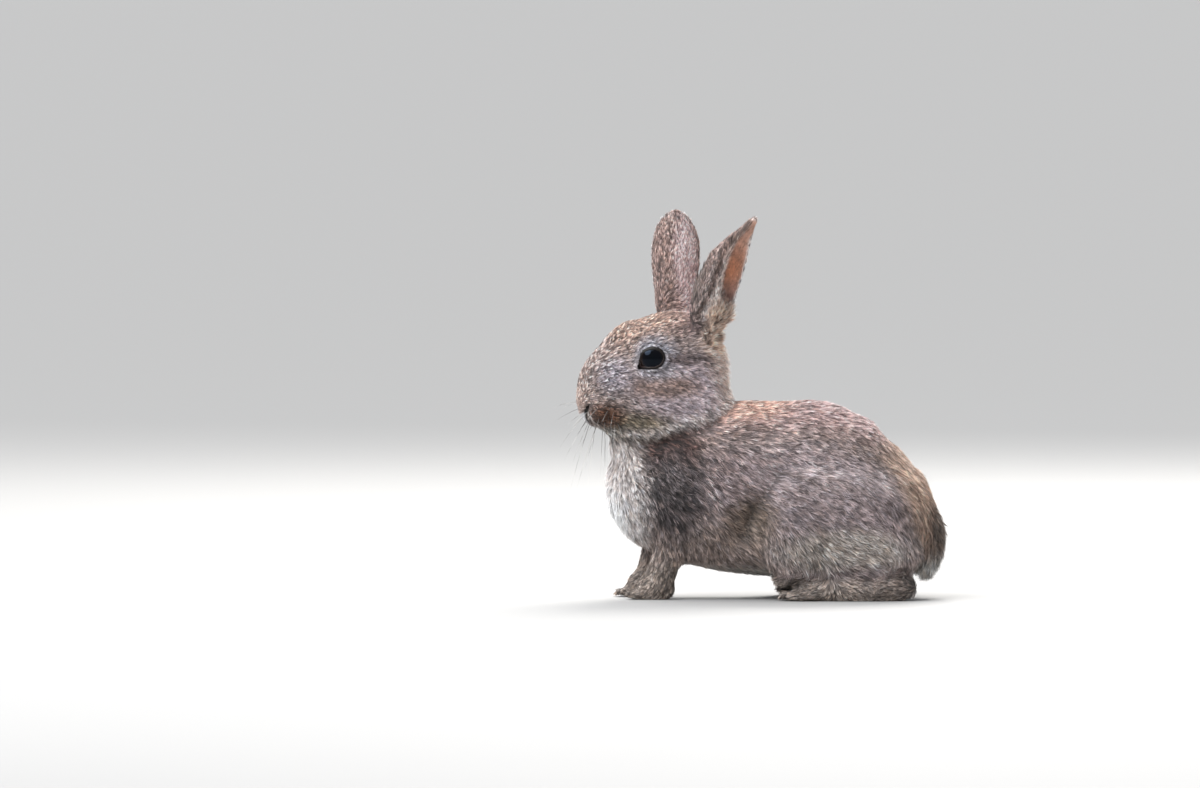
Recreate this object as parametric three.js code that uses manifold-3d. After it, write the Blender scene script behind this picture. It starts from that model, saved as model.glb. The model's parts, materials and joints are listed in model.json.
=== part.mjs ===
// A young European rabbit, life size, in millimetres, sitting crouched with its head up.
// +Z is up, the nose points along -X and the rabbit's left side faces -Y. The origin lies on the ground
// under the middle of the whole rabbit. The solids give the outline of the coat, so they are a little
// fuller than the flesh.
//
// Flesh is one smooth field made of rounded forms that melt into each other. It is turned into closed
// meshes, finer on the head and feet, and parted into head, neck, trunk, thighs, upper forelegs and tail
// by thin cuts. Ears, eyes, forelegs and hind feet are made on their own and fitted to the flesh.
import * as THREE from "three";
import { mergeVertices } from "three/addons/utils/BufferGeometryUtils.js";
import Module from "manifold-3d";

const wasm = await Module();
wasm.setup();

// ---- driving dimensions ----
const cutGap = 0.35; // width of the cuts that part the body
const limbGap = 0.85; // clearance of the ears, feet and forelegs from the body they grow out of
const bodyMesh = 9.6; // mesh spacing on the trunk and thighs
const tailMesh = 4.6;
const headMesh = 4.8;
const footMesh = 5; // mesh spacing on legs and feet
const flatness = 0.2; // how far facets may be thinned out from the finer mesh

const headAt = [-62.6, 0, 124.8]; // the point midway between the eyes
const headYaw = THREE.MathUtils.degToRad(10); // the head turns this much to the rabbit's left

const eyeRadius = 8.2;
const eyeAt = { forward: -1.1, side: 16.1, up: 0.2 }; // eye centre, from the point between the eyes

const hindFootSide = 31; // distance of a hind foot's midline from the body's midline
const forePawSide = 14.5;
const forePawLead = { left: 0, right: -5 }; // how far each forepaw is set ahead of its place
const claw = { radius: 1.2, length: 5, droop: 22 }; // droop in degrees below level

// Whiskers of one side of the muzzle, in rows from the top down: how each row points and how long it is.
const whisker = { thickness: 0.6, columns: 2, columnStep: 5, turnBack: 0.3, sag: 0.15, root: [-26.5, 5.5, -25] };
const whiskerRows = [
  { way: [-0.85, 0.7, -0.05], length: 25 },
  { way: [-0.78, 0.68, -0.42], length: 28 },
  { way: [-0.6, 0.6, -0.85], length: 37 },
  { way: [-0.36, 0.45, -1], length: 44 },
];

// ---- forms: each gives the rough distance from a point to its surface, negative inside ----
const length = (x, y, z) => Math.sqrt(x * x + y * y + z * z);

// An egg with three half-axes, pitched nose-up about the Y axis by some degrees.
function egg(at, radii, pitch = 0) {
  const c = Math.cos(THREE.MathUtils.degToRad(pitch));
  const s = Math.sin(THREE.MathUtils.degToRad(pitch));
  return (x, y, z) => {
    const dx = x - at[0];
    const dz = z - at[2];
    const u = (dx * c - dz * s) / radii[0];
    const v = (y - at[1]) / radii[1];
    const w = (dx * s + dz * c) / radii[2];
    const k = length(u, v, w);
    const slope = length(u / radii[0], v / radii[1], w / radii[2]);
    return slope < 1e-9 ? -Math.min(...radii) : (k * (k - 1)) / slope;
  };
}

// A round limb from a to b whose radius runs from ra to rb.
function limb(a, b, ra, rb) {
  const d = [b[0] - a[0], b[1] - a[1], b[2] - a[2]];
  const dd = d[0] * d[0] + d[1] * d[1] + d[2] * d[2];
  return (x, y, z) => {
    const along = ((x - a[0]) * d[0] + (y - a[1]) * d[1] + (z - a[2]) * d[2]) / dd;
    const t = Math.min(1, Math.max(0, along));
    return length(x - a[0] - t * d[0], y - a[1] - t * d[1], z - a[2] - t * d[2]) - ra - t * (rb - ra);
  };
}

// Two distances melted together over a seam of width k.
function melt(a, b, k) {
  const h = Math.max(k - Math.abs(a - b), 0) / k;
  return Math.min(a, b) - (h * h * k) / 4;
}

const melt2 = (a, b, k) => (x, y, z) => melt(a(x, y, z), b(x, y, z), k);
const meltAll = (forms, k) => (x, y, z) => forms.reduce((d, form) => melt(d, form(x, y, z), k), 1e3);
const paired = (form) => (x, y, z) => form(x, Math.abs(y), z);

// Carries a form made round the point between the eyes to the head's place and yaw.
function onHead(form) {
  const c = Math.cos(headYaw);
  const s = Math.sin(headYaw);
  return (x, y, z) => {
    const dx = x - headAt[0];
    const dy = y - headAt[1];
    return form(dx * c + dy * s, dy * c - dx * s, z - headAt[2]);
  };
}

// ---- the rabbit's forms ----
const skull = meltAll(
  [
    egg([14, 0, 3], [25.5, 18.5, 21.5]), // braincase
    egg([-5.6, 0, 1.6], [18.5, 15.5, 15.8], -36), // forehead
    egg([-16.6, 0, -9.6], [14.2, 12.5, 14.2], -40), // bridge of the nose
    egg([-20, 0, -16], [13.2, 11.5, 13.5], -24), // muzzle
    egg([-29.5, 0, -20.5], [5.2, 6.2, 6.6]), // tip of the nose
    egg([-18, 0, -29], [13.8, 9, 9], 8), // lips and chin
    paired(egg([-21.5, 5.6, -24.5], [10, 8, 9.5])), // whisker pads
    paired(egg([-9, 7, -12], [17, 11.2, 16], -30)), // sides of the face
    paired(egg([9, 9.5, -13], [25, 14, 19.5])), // cheeks
    paired(egg([10, 9, -26], [26.5, 13.5, 16])), // jowls, over the neck
    paired(egg([2, 13.5, 6], [12, 6.5, 8.5])), // brows
    egg([26.5, 0, -7], [18.5, 20.5, 27]), // back of the head
  ],
  7,
);

const neckForm = meltAll(
  [
    egg([-53.5, 0, 88], [29.5, 22.5, 27]), // throat
    egg([-36, 0, 96], [18.5, 22, 22]), // nape
  ],
  8,
);

const shoulderForm = paired(egg([-38, 17, 54], [22, 14, 31], 12));
const trunkForm = meltAll(
  [
    egg([-48, 0, 58], [35, 28, 35], 8), // chest
    egg([-14, 0, 65], [42, 34, 38.5]), // ribs
    egg([20, 0, 60.6], [45, 37, 42.1], -18), // loin
    egg([48.3, 0, 40.6], [42.4, 35, 33.8], -42), // rump
    egg([5, 0, 32], [62, 30, 20]), // belly
    shoulderForm,
  ],
  10,
);

const thighForm = meltAll(
  [
    paired(egg([37, 27, 41], [34, 16, 32], -14)), // thigh
    paired(egg([12, 31, 30], [14, 11.5, 21])), // knee
    paired(egg([56, 26, 22], [26, 14, 17], -8)), // shank over the heel
  ],
  10,
);

const tailForm = egg([84, 0, 30], [9.6, 10.5, 19], 4);

const hindFootSize = { back: 80, front: 6, halfWidth: 9.4, toeLength: 21, toeRadius: 2.8, height: 17 };
const forePawSize = { back: -47, front: -74, halfWidth: 8.2, toeLength: 14, toeRadius: 2.4, height: 13 };
const padForm = ({ back, front, halfWidth, toeLength, height }) =>
  egg(
    [(back + front + toeLength * 0.4) / 2, 0, height * 0.38],
    [(back - front - toeLength * 0.4) / 2, halfWidth, height * 0.62],
  );
const foreLegForm = melt2(limb([-44, 2, 38], [-56, 0, 9], 12, 6.8), padForm(forePawSize), 6);
const hindFootForm = padForm(hindFootSize);

const sideOf = { left: -1, right: 1 };

const headForm = onHead(skull);
const flesh = (x, y, z) => {
  const neckAndHead = melt(headForm(x, y, z), neckForm(x, y, z), 3);
  const bodyAndThighs = melt(trunkForm(x, y, z), thighForm(x, y, z), 8);
  return melt(melt(bodyAndThighs, tailForm(x, y, z), 6), neckAndHead, 4);
};

// ---- turning a form into a closed mesh ----
// Surface nets: one vertex in each cell that the surface crosses, one quad across each crossed grid edge.
function meshOf(form, low, high, step) {
  const count = low.map((l, i) => Math.ceil((high[i] - l) / step) + 1);
  const at = (i, j, k) => (k * count[1] + j) * count[0] + i;
  const values = new Float64Array(count[0] * count[1] * count[2]);
  for (let k = 0; k < count[2]; k++)
    for (let j = 0; j < count[1]; j++)
      for (let i = 0; i < count[0]; i++) {
        const rim = [i, j, k].some((n, m) => n === 0 || n === count[m] - 1);
        const d = form(low[0] + i * step, low[1] + j * step, low[2] + k * step);
        values[at(i, j, k)] = rim ? Math.max(d, 0.3 * step) : d;
      }
  const positions = [];
  const vertexOf = new Map();
  const corners = [0, 1].flatMap((k) => [0, 1].flatMap((j) => [0, 1].map((i) => [i, j, k])));
  const slopeStep = 0.2;
  for (let k = 0; k < count[2] - 1; k++)
    for (let j = 0; j < count[1] - 1; j++)
      for (let i = 0; i < count[0] - 1; i++) {
        const sum = [0, 0, 0];
        let crossings = 0;
        for (const a of corners)
          for (let axis = 0; axis < 3; axis++) {
            if (a[axis]) continue;
            const b = a.map((n, m) => (m === axis ? 1 : n));
            const va = values[at(i + a[0], j + a[1], k + a[2])];
            const vb = values[at(i + b[0], j + b[1], k + b[2])];
            if (va < 0 === vb < 0) continue;
            const t = va / (va - vb);
            for (let m = 0; m < 3; m++) sum[m] += a[m] + t * (b[m] - a[m]);
            crossings++;
          }
        if (!crossings) continue;
        const p = sum.map((s, m) => low[m] + ([i, j, k][m] + s / crossings) * step);
        // Two steps down the slope bring the vertex onto the form itself.
        for (let n = 0; n < 2; n++) {
          const d = form(...p);
          const beside = (m) => form(...p.map((x, q) => (q === m ? x + slopeStep : x)));
          const g = [0, 1, 2].map((m) => (beside(m) - d) / slopeStep);
          const gg = g[0] * g[0] + g[1] * g[1] + g[2] * g[2];
          const move = Math.max(-0.3 * step, Math.min(0.3 * step, d)) / Math.max(gg, 0.25);
          for (let m = 0; m < 3; m++) p[m] -= move * g[m];
        }
        vertexOf.set(at(i, j, k), positions.length / 3);
        positions.push(...p);
      }
  const index = [];
  const distance = (a, b) => length(...[0, 1, 2].map((m) => positions[3 * a + m] - positions[3 * b + m]));
  for (let k = 0; k < count[2] - 1; k++)
    for (let j = 0; j < count[1] - 1; j++)
      for (let i = 0; i < count[0] - 1; i++)
        for (let axis = 0; axis < 3; axis++) {
          const next = [i, j, k].map((n, m) => (m === axis ? n + 1 : n));
          const here = values[at(i, j, k)] < 0;
          if (here === values[at(...next)] < 0) continue;
          const u = (axis + 1) % 3;
          const v = (axis + 2) % 3;
          const cell = (du, dv) => {
            const c = [i, j, k];
            c[u] -= du;
            c[v] -= dv;
            return vertexOf.get(at(...c));
          };
          const quad = [cell(1, 1), cell(0, 1), cell(0, 0), cell(1, 0)];
          if (!here) quad.reverse();
          const [a, b, c, d] = quad;
          if (distance(a, c) < distance(b, d)) index.push(a, b, c, a, c, d);
          else index.push(a, b, d, b, c, d);
        }
  const geometry = new THREE.BufferGeometry();
  geometry.setAttribute("position", new THREE.Float32BufferAttribute(positions, 3));
  geometry.setIndex(index);
  return geometry;
}

// ---- closed meshes as solids, and back ----
function solid(geometry) {
  const bare = geometry.clone();
  bare.deleteAttribute("normal");
  bare.deleteAttribute("uv");
  const merged = mergeVertices(bare, 1e-4);
  return new wasm.Manifold(
    new wasm.Mesh({
      numProp: 3,
      vertProperties: new Float32Array(merged.attributes.position.array),
      triVerts: new Uint32Array(merged.index.array),
    }),
  );
}

function geometryOf(manifold) {
  const mesh = manifold.getMesh();
  const geometry = new THREE.BufferGeometry();
  geometry.setAttribute("position", new THREE.BufferAttribute(new Float32Array(mesh.vertProperties), 3));
  geometry.setIndex(new THREE.BufferAttribute(new Uint32Array(mesh.triVerts), 1));
  geometry.computeVertexNormals();
  return geometry;
}

// A box that fills one side of the plane through `at`, square to `facing`, used as a knife.
function halfSpace(at, facing) {
  const reach = 500;
  const box = new THREE.BoxGeometry(reach, reach, reach).translate(0, 0, -reach / 2);
  const turn = new THREE.Quaternion().setFromUnitVectors(new THREE.Vector3(0, 0, 1), facing.clone().normalize());
  return solid(box.applyQuaternion(turn).translate(at.x, at.y, at.z));
}

const ballSolid = (at, radius) => solid(new THREE.SphereGeometry(radius, 12, 9).translate(...at));

// The largest closed body of a solid: thin cuts can leave slivers beside it.
const mainBody = (s) => s.decompose().sort((a, b) => b.volume() - a.volume())[0];

// ---- ears: a leaf folded along its spine into a trough, between a near and a far margin ----
// Each station up the ear gives a point on the one margin, on the fold and on the other margin.
const ears = {
  left: [
    [[-29, -12, 126], [-36, -5, 128], [-25.5, -5, 126]],
    [[-26, -18.5, 142], [-38.5, -10, 142], [-22, -8, 141]],
    [[-24.4, -22.5, 156], [-38.2, -13.5, 156], [-16.6, -10.5, 154]],
    [[-21.6, -24.5, 171], [-32, -16, 172], [-11.4, -13, 170]],
    [[-16.2, -25, 184], [-22.2, -18.5, 184], [-8.4, -15.5, 182.5]],
    [[-10.4, -24.6, 191.6], [-13.2, -21, 191.4], [-6.4, -18.4, 190.5]],
    [[-4.8, -23.2, 197.8], [-5.8, -22, 197.6], [-3.8, -21, 197.2]],
  ],
  right: [
    [[-39, 11, 130], [-46, 4, 132], [-53, 11, 131]],
    [[-37.8, 18, 146], [-47.5, 8.5, 148], [-55.8, 17.5, 148]],
    [[-36.4, 21.5, 160], [-47.5, 11, 161], [-57, 21, 161]],
    [[-34.4, 24, 173], [-47.3, 13.5, 174], [-58.2, 24, 174]],
    [[-34.4, 25, 183.5], [-46.8, 15.5, 184], [-57.8, 25, 184]],
    [[-36.8, 24.5, 192], [-46.3, 17.5, 193], [-55.8, 24.5, 192.5]],
    [[-41.2, 23, 197.8], [-46.2, 19.5, 198.4], [-51.6, 23, 198]],
    [[-45, 21.4, 200], [-46.3, 20.6, 200.1], [-47.6, 21.4, 200]],
  ],
};
const earWall = { base: 2.5, tip: 1.6 }; // thickness; half of that along the margins
const earRows = 13;
const earColumns = 6;

function earGeometry(stations) {
  const curveOf = (n) => new THREE.CatmullRomCurve3(stations.map((station) => new THREE.Vector3(...station[n])));
  const curves = [0, 1, 2].map(curveOf);
  // A point of the leaf's middle layer: u runs up the ear, t from -1 at one margin to 1 at the other.
  const middle = (u, t) => {
    const [near, fold, far] = curves.map((curve) => curve.getPoint(u));
    const half = far.clone().sub(near).multiplyScalar(0.5);
    const depth = near.clone().add(far).multiplyScalar(0.5).sub(fold);
    const angle = (t * Math.PI) / 2.25;
    const turn = Math.PI / 2.25;
    return fold
      .addScaledVector(half, Math.sin(angle) / Math.sin(turn))
      .addScaledVector(depth, (1 - Math.cos(angle)) / (1 - Math.cos(turn)));
  };
  const layers = [[], []];
  for (let i = 0; i <= earRows; i++)
    for (let j = 0; j <= earColumns; j++) {
      const u = Math.sin(((i / earRows) * Math.PI) / 2.6) / Math.sin(Math.PI / 2.6);
      const t = (2 * j) / earColumns - 1;
      const step = 0.01;
      const up = middle(Math.min(1, u + step), t).sub(middle(Math.max(0, u - step), t));
      const over = middle(u, Math.min(1, t + step)).sub(middle(u, Math.max(-1, t - step)));
      const outward = new THREE.Vector3().crossVectors(up, over).normalize();
      const wall = THREE.MathUtils.lerp(earWall.base, earWall.tip, u) * (1 - 0.5 * t ** 4);
      layers[0].push(middle(u, t).addScaledVector(outward, -wall / 2));
      layers[1].push(middle(u, t).addScaledVector(outward, wall / 2));
    }
  const row = earColumns + 1;
  const second = layers[0].length;
  const index = [];
  const quad = (a, b, c, d) => index.push(a, c, b, a, d, c);
  for (let i = 0; i < earRows; i++) {
    for (let j = 0; j < earColumns; j++) {
      const a = i * row + j;
      quad(a, a + row, a + row + 1, a + 1);
      quad(second + a, second + a + 1, second + a + row + 1, second + a + row);
    }
    const a = i * row;
    const b = a + earColumns;
    quad(a, second + a, second + a + row, a + row);
    quad(b, b + row, second + b + row, second + b);
  }
  for (let j = 0; j < earColumns; j++) {
    const top = earRows * row + j;
    quad(j, j + 1, second + j + 1, second + j);
    quad(top, second + top, second + top + 1, top + 1);
  }
  const geometry = new THREE.BufferGeometry().setFromPoints(layers.flat());
  geometry.setIndex(index);
  return geometry;
}

// ---- parting ----
const halfGap = cutGap / 2;
const knives = {
  jawLine: { at: new THREE.Vector3(-50, 0, 92.5), facing: new THREE.Vector3(-0.28, 0, 1) },
  neckRoot: { at: new THREE.Vector3(-50, 0, 79), facing: new THREE.Vector3(-0.5, 0, 1) },
  thigh: { at: [38, 38, 36], radii: [43, 23, 37], pitch: -8 },
  upperArm: { at: [-37, 34, 47], radii: [19, 21, 31], pitch: 10 },
  tail: { at: [87, 0, 30], radii: [11, 12.5, 22], pitch: 4 },
};

// What is left of a solid on one side of a plane knife, clear of the plane by half the gap.
function sideOfPlane(s, { at, facing }, sign) {
  const way = facing.clone().normalize().multiplyScalar(sign);
  return s.subtract(halfSpace(at.clone().addScaledVector(way, halfGap), way));
}

// The piece of a solid inside an egg-shaped knife, and what stays outside it.
function part(inside, outside, { at, radii, pitch }, side = 1) {
  const knife = (grow) => {
    const ball = new THREE.SphereGeometry(1, 18, 12);
    ball.scale(radii[0] + grow, radii[1] + grow, radii[2] + grow);
    ball.rotateY(THREE.MathUtils.degToRad(pitch));
    return solid(ball.translate(at[0], at[1] * side, at[2]));
  };
  return [inside.intersect(knife(-halfGap)), outside.subtract(knife(halfGap))];
}

const floorCut = halfSpace(new THREE.Vector3(0, 0, 0), new THREE.Vector3(0, 0, 1));
const grown = (x, y, z) => flesh(x, y, z) - limbGap;
const bodyBox = [[-100, -60, 2], [112, 60, 130]];
const headBox = [[-106, -40, 70], [-4, 44, 164]];
const bodySolid = solid(meshOf(flesh, ...bodyBox, bodyMesh));
const bodyRoom = solid(meshOf(grown, ...bodyBox, bodyMesh));
const headSolid = solid(meshOf(flesh, ...headBox, headMesh));
const headRoom = solid(meshOf(grown, ...headBox, headMesh));

// Four toes with claws, side by side in front of a pad, the middle ones longest.
function toesOf({ front, halfWidth, toeLength, toeRadius }) {
  return [-1, -1 / 3, 1 / 3, 1].flatMap((place) => {
    const tip = [front + toeLength * 0.14 * Math.abs(place * 1.5 + 0.4), place * (halfWidth - toeRadius)];
    const spread = THREE.MathUtils.degToRad(place * 5);
    const toe = new THREE.SphereGeometry(1, 7, 5).scale(toeLength / 2, toeRadius, toeRadius * 1.15);
    const cone = new THREE.ConeGeometry(claw.radius, claw.length, 5).translate(0, claw.length / 2, 0);
    cone.rotateZ(THREE.MathUtils.degToRad(90 + claw.droop)).translate(1.2 - toeLength / 2, 0, 0.5);
    return [toe, cone].map((g) =>
      solid(g.rotateZ(spread).translate(tip[0] + toeLength / 2, tip[1] * 0.92, toeRadius + 0.2)),
    );
  });
}

// The whiskers of one side, rooted inside the pad, each bent evenly down along a parabola.
function whiskersOf(side) {
  const half = whisker.thickness / 2;
  const section = new THREE.Shape([[-1, -1], [1, -1], [1, 1], [-1, 1]].map(([u, v]) => new THREE.Vector2(u * half, v * half)));
  const up = new THREE.Vector3(0, 0, 1);
  return whiskerRows.flatMap((row) =>
    Array.from({ length: whisker.columns }, (_, column) => {
      const root = new THREE.Vector3(...whisker.root).add(new THREE.Vector3(whisker.columnStep * column, 0, 0));
      const way = new THREE.Vector3(...row.way).add(new THREE.Vector3(whisker.turnBack * column, 0, 0)).normalize();
      const bend = root.clone().addScaledVector(way, row.length / 2);
      const tip = root.clone().addScaledVector(way, row.length).addScaledVector(up, -whisker.sag * row.length);
      const route = [root, bend, tip].map((p) =>
        p.setY(p.y * side).applyAxisAngle(up, headYaw).add(new THREE.Vector3(...headAt)),
      );
      const extrudePath = new THREE.QuadraticBezierCurve3(...route);
      return solid(new THREE.ExtrudeGeometry(section, { extrudePath, steps: 2, bevelEnabled: false }));
    }),
  );
}

// A limb with toes, cut flat at the floor and clear of the body.
function limbSolid(form, size, dx, dy, top) {
  const leg = solid(meshOf(form, [size.front - 4, -20, -6], [size.back + 26, 20, top], footMesh));
  const whole = toesOf(size).reduce((paw, toe) => paw.add(toe), leg).translate(dx, dy, 0);
  return mainBody(whole.subtract(floorCut).subtract(bodyRoom)).asOriginal().simplify(flatness / 4);
}

const solids = {};
let head = sideOfPlane(headSolid, knives.jawLine, 1);
const belowHead = sideOfPlane(bodySolid, knives.jawLine, -1);
solids.neck = sideOfPlane(belowHead, knives.neckRoot, 1);
let trunk = sideOfPlane(belowHead, knives.neckRoot, -1);
const tailSolid = solid(meshOf(flesh, [60, -22, 0], [108, 22, 66], tailMesh));
[solids.tail, trunk] = part(tailSolid, trunk, knives.tail);
for (const side of ["left", "right"]) {
  const s = sideOf[side];
  [solids[`thigh_${side}`], trunk] = part(trunk, trunk, knives.thigh, s);
  [solids[`upper_foreleg_${side}`], trunk] = part(trunk, trunk, knives.upperArm, s);

  solids[`hind_foot_${side}`] = limbSolid(hindFootForm, hindFootSize, 0, s * hindFootSide, 26);
  solids[`foreleg_${side}`] = limbSolid(foreLegForm, forePawSize, forePawLead[side], s * forePawSide, 60);

  const eye = new THREE.Vector3(-eyeAt.forward, s * eyeAt.side, eyeAt.up);
  const at = eye.applyAxisAngle(new THREE.Vector3(0, 0, 1), headYaw).add(new THREE.Vector3(...headAt)).toArray();
  solids[`eye_${side}`] = ballSolid(at, eyeRadius);
  head = head.subtract(ballSolid(at, eyeRadius + cutGap));
  solids[`ear_${side}`] = mainBody(solid(earGeometry(ears[side])).subtract(headRoom));
}
solids.trunk = trunk;
solids.head = head;
for (const name of Object.keys(solids))
  if (/^(trunk|head|neck|tail|thigh|upper)/.test(name))
    solids[name] = mainBody(solids[name]).asOriginal().simplify(flatness);
for (const side of Object.values(sideOf))
  solids.head = whiskersOf(side).reduce((whole, hair) => whole.add(hair), solids.head);

// ---- the scene ----
const colours = {
  head: 0x8f7868,
  neck: 0x8f7868,
  trunk: 0x8f7868,
  tail: 0x9c8878,
  thigh: 0xa39488,
  upper: 0xa39488,
  hind: 0xa58f78,
  foreleg: 0xa58f78,
  ear: 0x96806f,
  eye: 0x120c0a,
};

// The middle of the whole rabbit is set over the origin.
const boxes = Object.values(solids).map((s) => s.boundingBox());
const middleOf = (axis) =>
  (Math.min(...boxes.map((b) => b.min[axis])) + Math.max(...boxes.map((b) => b.max[axis]))) / 2;

const rabbit = new THREE.Group();
for (const [name, made] of Object.entries(solids)) {
  const eye = name.startsWith("eye");
  const material = new THREE.MeshStandardMaterial({
    color: colours[name.split("_")[0]],
    roughness: eye ? 0.05 : 0.9,
    metalness: 0,
  });
  const mesh = new THREE.Mesh(geometryOf(made.translate(-middleOf(0), -middleOf(1), 0)), material);
  mesh.name = name;
  rabbit.add(mesh);
}

export default rabbit;
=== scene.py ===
import json
import math

import bmesh
import bpy
import numpy as np
from mathutils import Matrix, Vector
from mathutils.bvhtree import BVHTree
from mathutils.kdtree import KDTree

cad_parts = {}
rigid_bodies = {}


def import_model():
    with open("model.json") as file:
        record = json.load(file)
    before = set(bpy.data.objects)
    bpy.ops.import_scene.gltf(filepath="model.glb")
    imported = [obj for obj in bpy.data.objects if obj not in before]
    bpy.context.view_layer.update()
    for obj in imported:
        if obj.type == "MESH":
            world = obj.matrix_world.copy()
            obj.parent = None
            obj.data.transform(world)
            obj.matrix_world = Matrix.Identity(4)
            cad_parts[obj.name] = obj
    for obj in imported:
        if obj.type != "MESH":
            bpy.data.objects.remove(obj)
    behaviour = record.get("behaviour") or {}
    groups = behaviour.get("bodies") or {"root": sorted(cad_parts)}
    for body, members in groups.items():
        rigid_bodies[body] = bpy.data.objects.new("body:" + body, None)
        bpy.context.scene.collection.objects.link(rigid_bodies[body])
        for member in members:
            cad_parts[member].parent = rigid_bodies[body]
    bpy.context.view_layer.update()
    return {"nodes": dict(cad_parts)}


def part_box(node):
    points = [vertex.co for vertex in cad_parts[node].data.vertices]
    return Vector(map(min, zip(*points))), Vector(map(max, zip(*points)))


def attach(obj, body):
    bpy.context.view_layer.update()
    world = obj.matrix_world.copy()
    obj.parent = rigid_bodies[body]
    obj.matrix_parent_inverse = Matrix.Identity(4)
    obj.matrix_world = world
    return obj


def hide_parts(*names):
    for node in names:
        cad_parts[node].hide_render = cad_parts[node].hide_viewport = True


for startup in list(bpy.data.objects):
    bpy.data.objects.remove(startup)
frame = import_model()
mm = 0.001
print("frame loaded")


# places on the head and body


def middleOf(node):
    low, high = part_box(node)
    return (low + high) / 2


leftEye, rightEye = middleOf("eye_left"), middleOf("eye_right")
eyeRadius = (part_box("eye_left")[1].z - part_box("eye_left")[0].z) / 2
headMiddle = (leftEye + rightEye) / 2
headLeft = (leftEye - rightEye).normalized()
headUp = Vector((0, 0, 1))
headForward = headLeft.cross(headUp).normalized()
headAxes = np.array([headForward, headLeft, headUp])

# body places are (along, to the side, up) from the floor this far behind the eyes, in millimetres
bodyMiddle = np.array((headMiddle.x / mm + 60.1, 0, 0))


def toBody(points):
    return points / mm - bodyMiddle


# the same for both sides of the body
def sidedBody(points):
    spots = toBody(points)
    spots[:, 1] = np.abs(spots[:, 1])
    return spots


# head places are given as (forward, to the side, up) from between the eyes, in millimetres
def toHead(points):
    return (points - np.array(headMiddle)) @ headAxes.T / mm


def sidedHead(points):
    spots = toHead(points)
    spots[:, 1] = np.abs(spots[:, 1])
    return spots


def fromHead(places):
    return np.array(places) * mm @ headAxes + np.array(headMiddle)


def directionFromHead(way):
    return np.array(way) @ headAxes


def unit(vectors):
    return vectors / np.maximum(np.linalg.norm(vectors, axis=-1, keepdims=True), 1e-12)


def easeIn(t):
    t = np.clip(t, 0, 1)
    return t * t * (3 - 2 * t)


# values move towards an aim by a share of the way
def toward(values, aim, share):
    values += (np.array(aim) - values) * np.asarray(share)[:, None]


# how much a point belongs to an egg-shaped place: 1 well inside, 0 outside
def belongs(points, centre, radii, soft=0.45):
    reach = np.linalg.norm((points - np.array(centre)) / np.array(radii), axis=1)
    return easeIn((1 + soft - reach) / (2 * soft))


# each ear: a line up the inside of its hollow, from base to tip
earHollows = {
    "ear_left": [
        (-26, -13, 135), (-20, -18, 148), (-16, -19, 162), (-13, -20, 175), (-9.5, -21, 187), (-4, -22, 197),
    ],
    "ear_right": [
        (-44, 17, 138), (-45, 22, 150), (-45, 25, 162), (-45, 27, 175), (-45, 26, 188), (-45, 23, 199),
    ],
}


def nearestOnLine(points, line):
    line = (np.array(line) + bodyMiddle) * mm
    best = np.full(len(points), 1e9)
    nearest = np.zeros_like(points)
    share = np.zeros(len(points))
    for k in range(len(line) - 1):
        a, b = line[k], line[k + 1]
        t = np.clip((points - a) @ (b - a) / ((b - a) @ (b - a)), 0, 1)
        spot = a + t[:, None] * (b - a)
        gap = np.linalg.norm(points - spot, axis=1)
        closer = gap < best
        best[closer], nearest[closer] = gap[closer], spot[closer]
        share[closer] = (k + t[closer]) / (len(line) - 1)
    return best, nearest, share


# where the rabbit is looked at from: far off, level with it, from its left side
viewpoint = {"target": (-84.4, 0, 106.1), "distance": 6900, "rise": 2.0, "lens": 398, "sensor": 36}


def placeCamera():
    camera = bpy.data.objects.new("camera", bpy.data.cameras.new("camera"))
    bpy.context.scene.collection.objects.link(camera)
    bpy.context.scene.camera = camera
    camera.data.lens = viewpoint["lens"]
    camera.data.sensor_width = viewpoint["sensor"]
    camera.data.clip_end = 100
    rise = math.radians(viewpoint["rise"])
    away = Vector((0, -math.cos(rise), math.sin(rise)))
    target = Vector(np.array(viewpoint["target"]) + bodyMiddle)
    camera.location = (target + away * viewpoint["distance"]) * mm
    camera.rotation_euler = (-away).to_track_quat("-Z", "Y").to_euler()


placeCamera()
bpy.context.scene.view_settings.view_transform = "Standard"

# meshes as arrays


def linkMesh(name, mesh):
    piece = bpy.data.objects.new(name, mesh)
    bpy.context.scene.collection.objects.link(piece)
    return piece


def pieceFrom(mesh, name):
    data = bpy.data.meshes.new(name)
    mesh.to_mesh(data)
    mesh.free()
    return linkMesh(name, data)


def shadeSmooth(mesh):
    mesh.polygons.foreach_set("use_smooth", np.ones(len(mesh.polygons), bool))


def storeValue(mesh, name, values):
    mesh.attributes.new(name, "FLOAT", "POINT").data.foreach_set("value", values)


def storeTint(mesh, colours):
    rgba = np.concatenate([colours, np.ones((len(colours), 1))], axis=1)
    mesh.color_attributes.new("tint", "FLOAT_COLOR", "POINT").data.foreach_set("color", rgba.ravel())


def pointsOf(mesh):
    co = np.empty(len(mesh.vertices) * 3)
    mesh.vertices.foreach_get("co", co)
    return co.reshape(-1, 3)


def trianglesOf(mesh):
    mesh.calc_loop_triangles()
    tris = np.empty(len(mesh.loop_triangles) * 3, np.int32)
    mesh.loop_triangles.foreach_get("vertices", tris)
    return tris.reshape(-1, 3)


def edgesOf(mesh):
    edges = np.empty(len(mesh.edges) * 2, np.int32)
    mesh.edges.foreach_get("vertices", edges)
    return edges.reshape(-1, 2)


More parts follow.
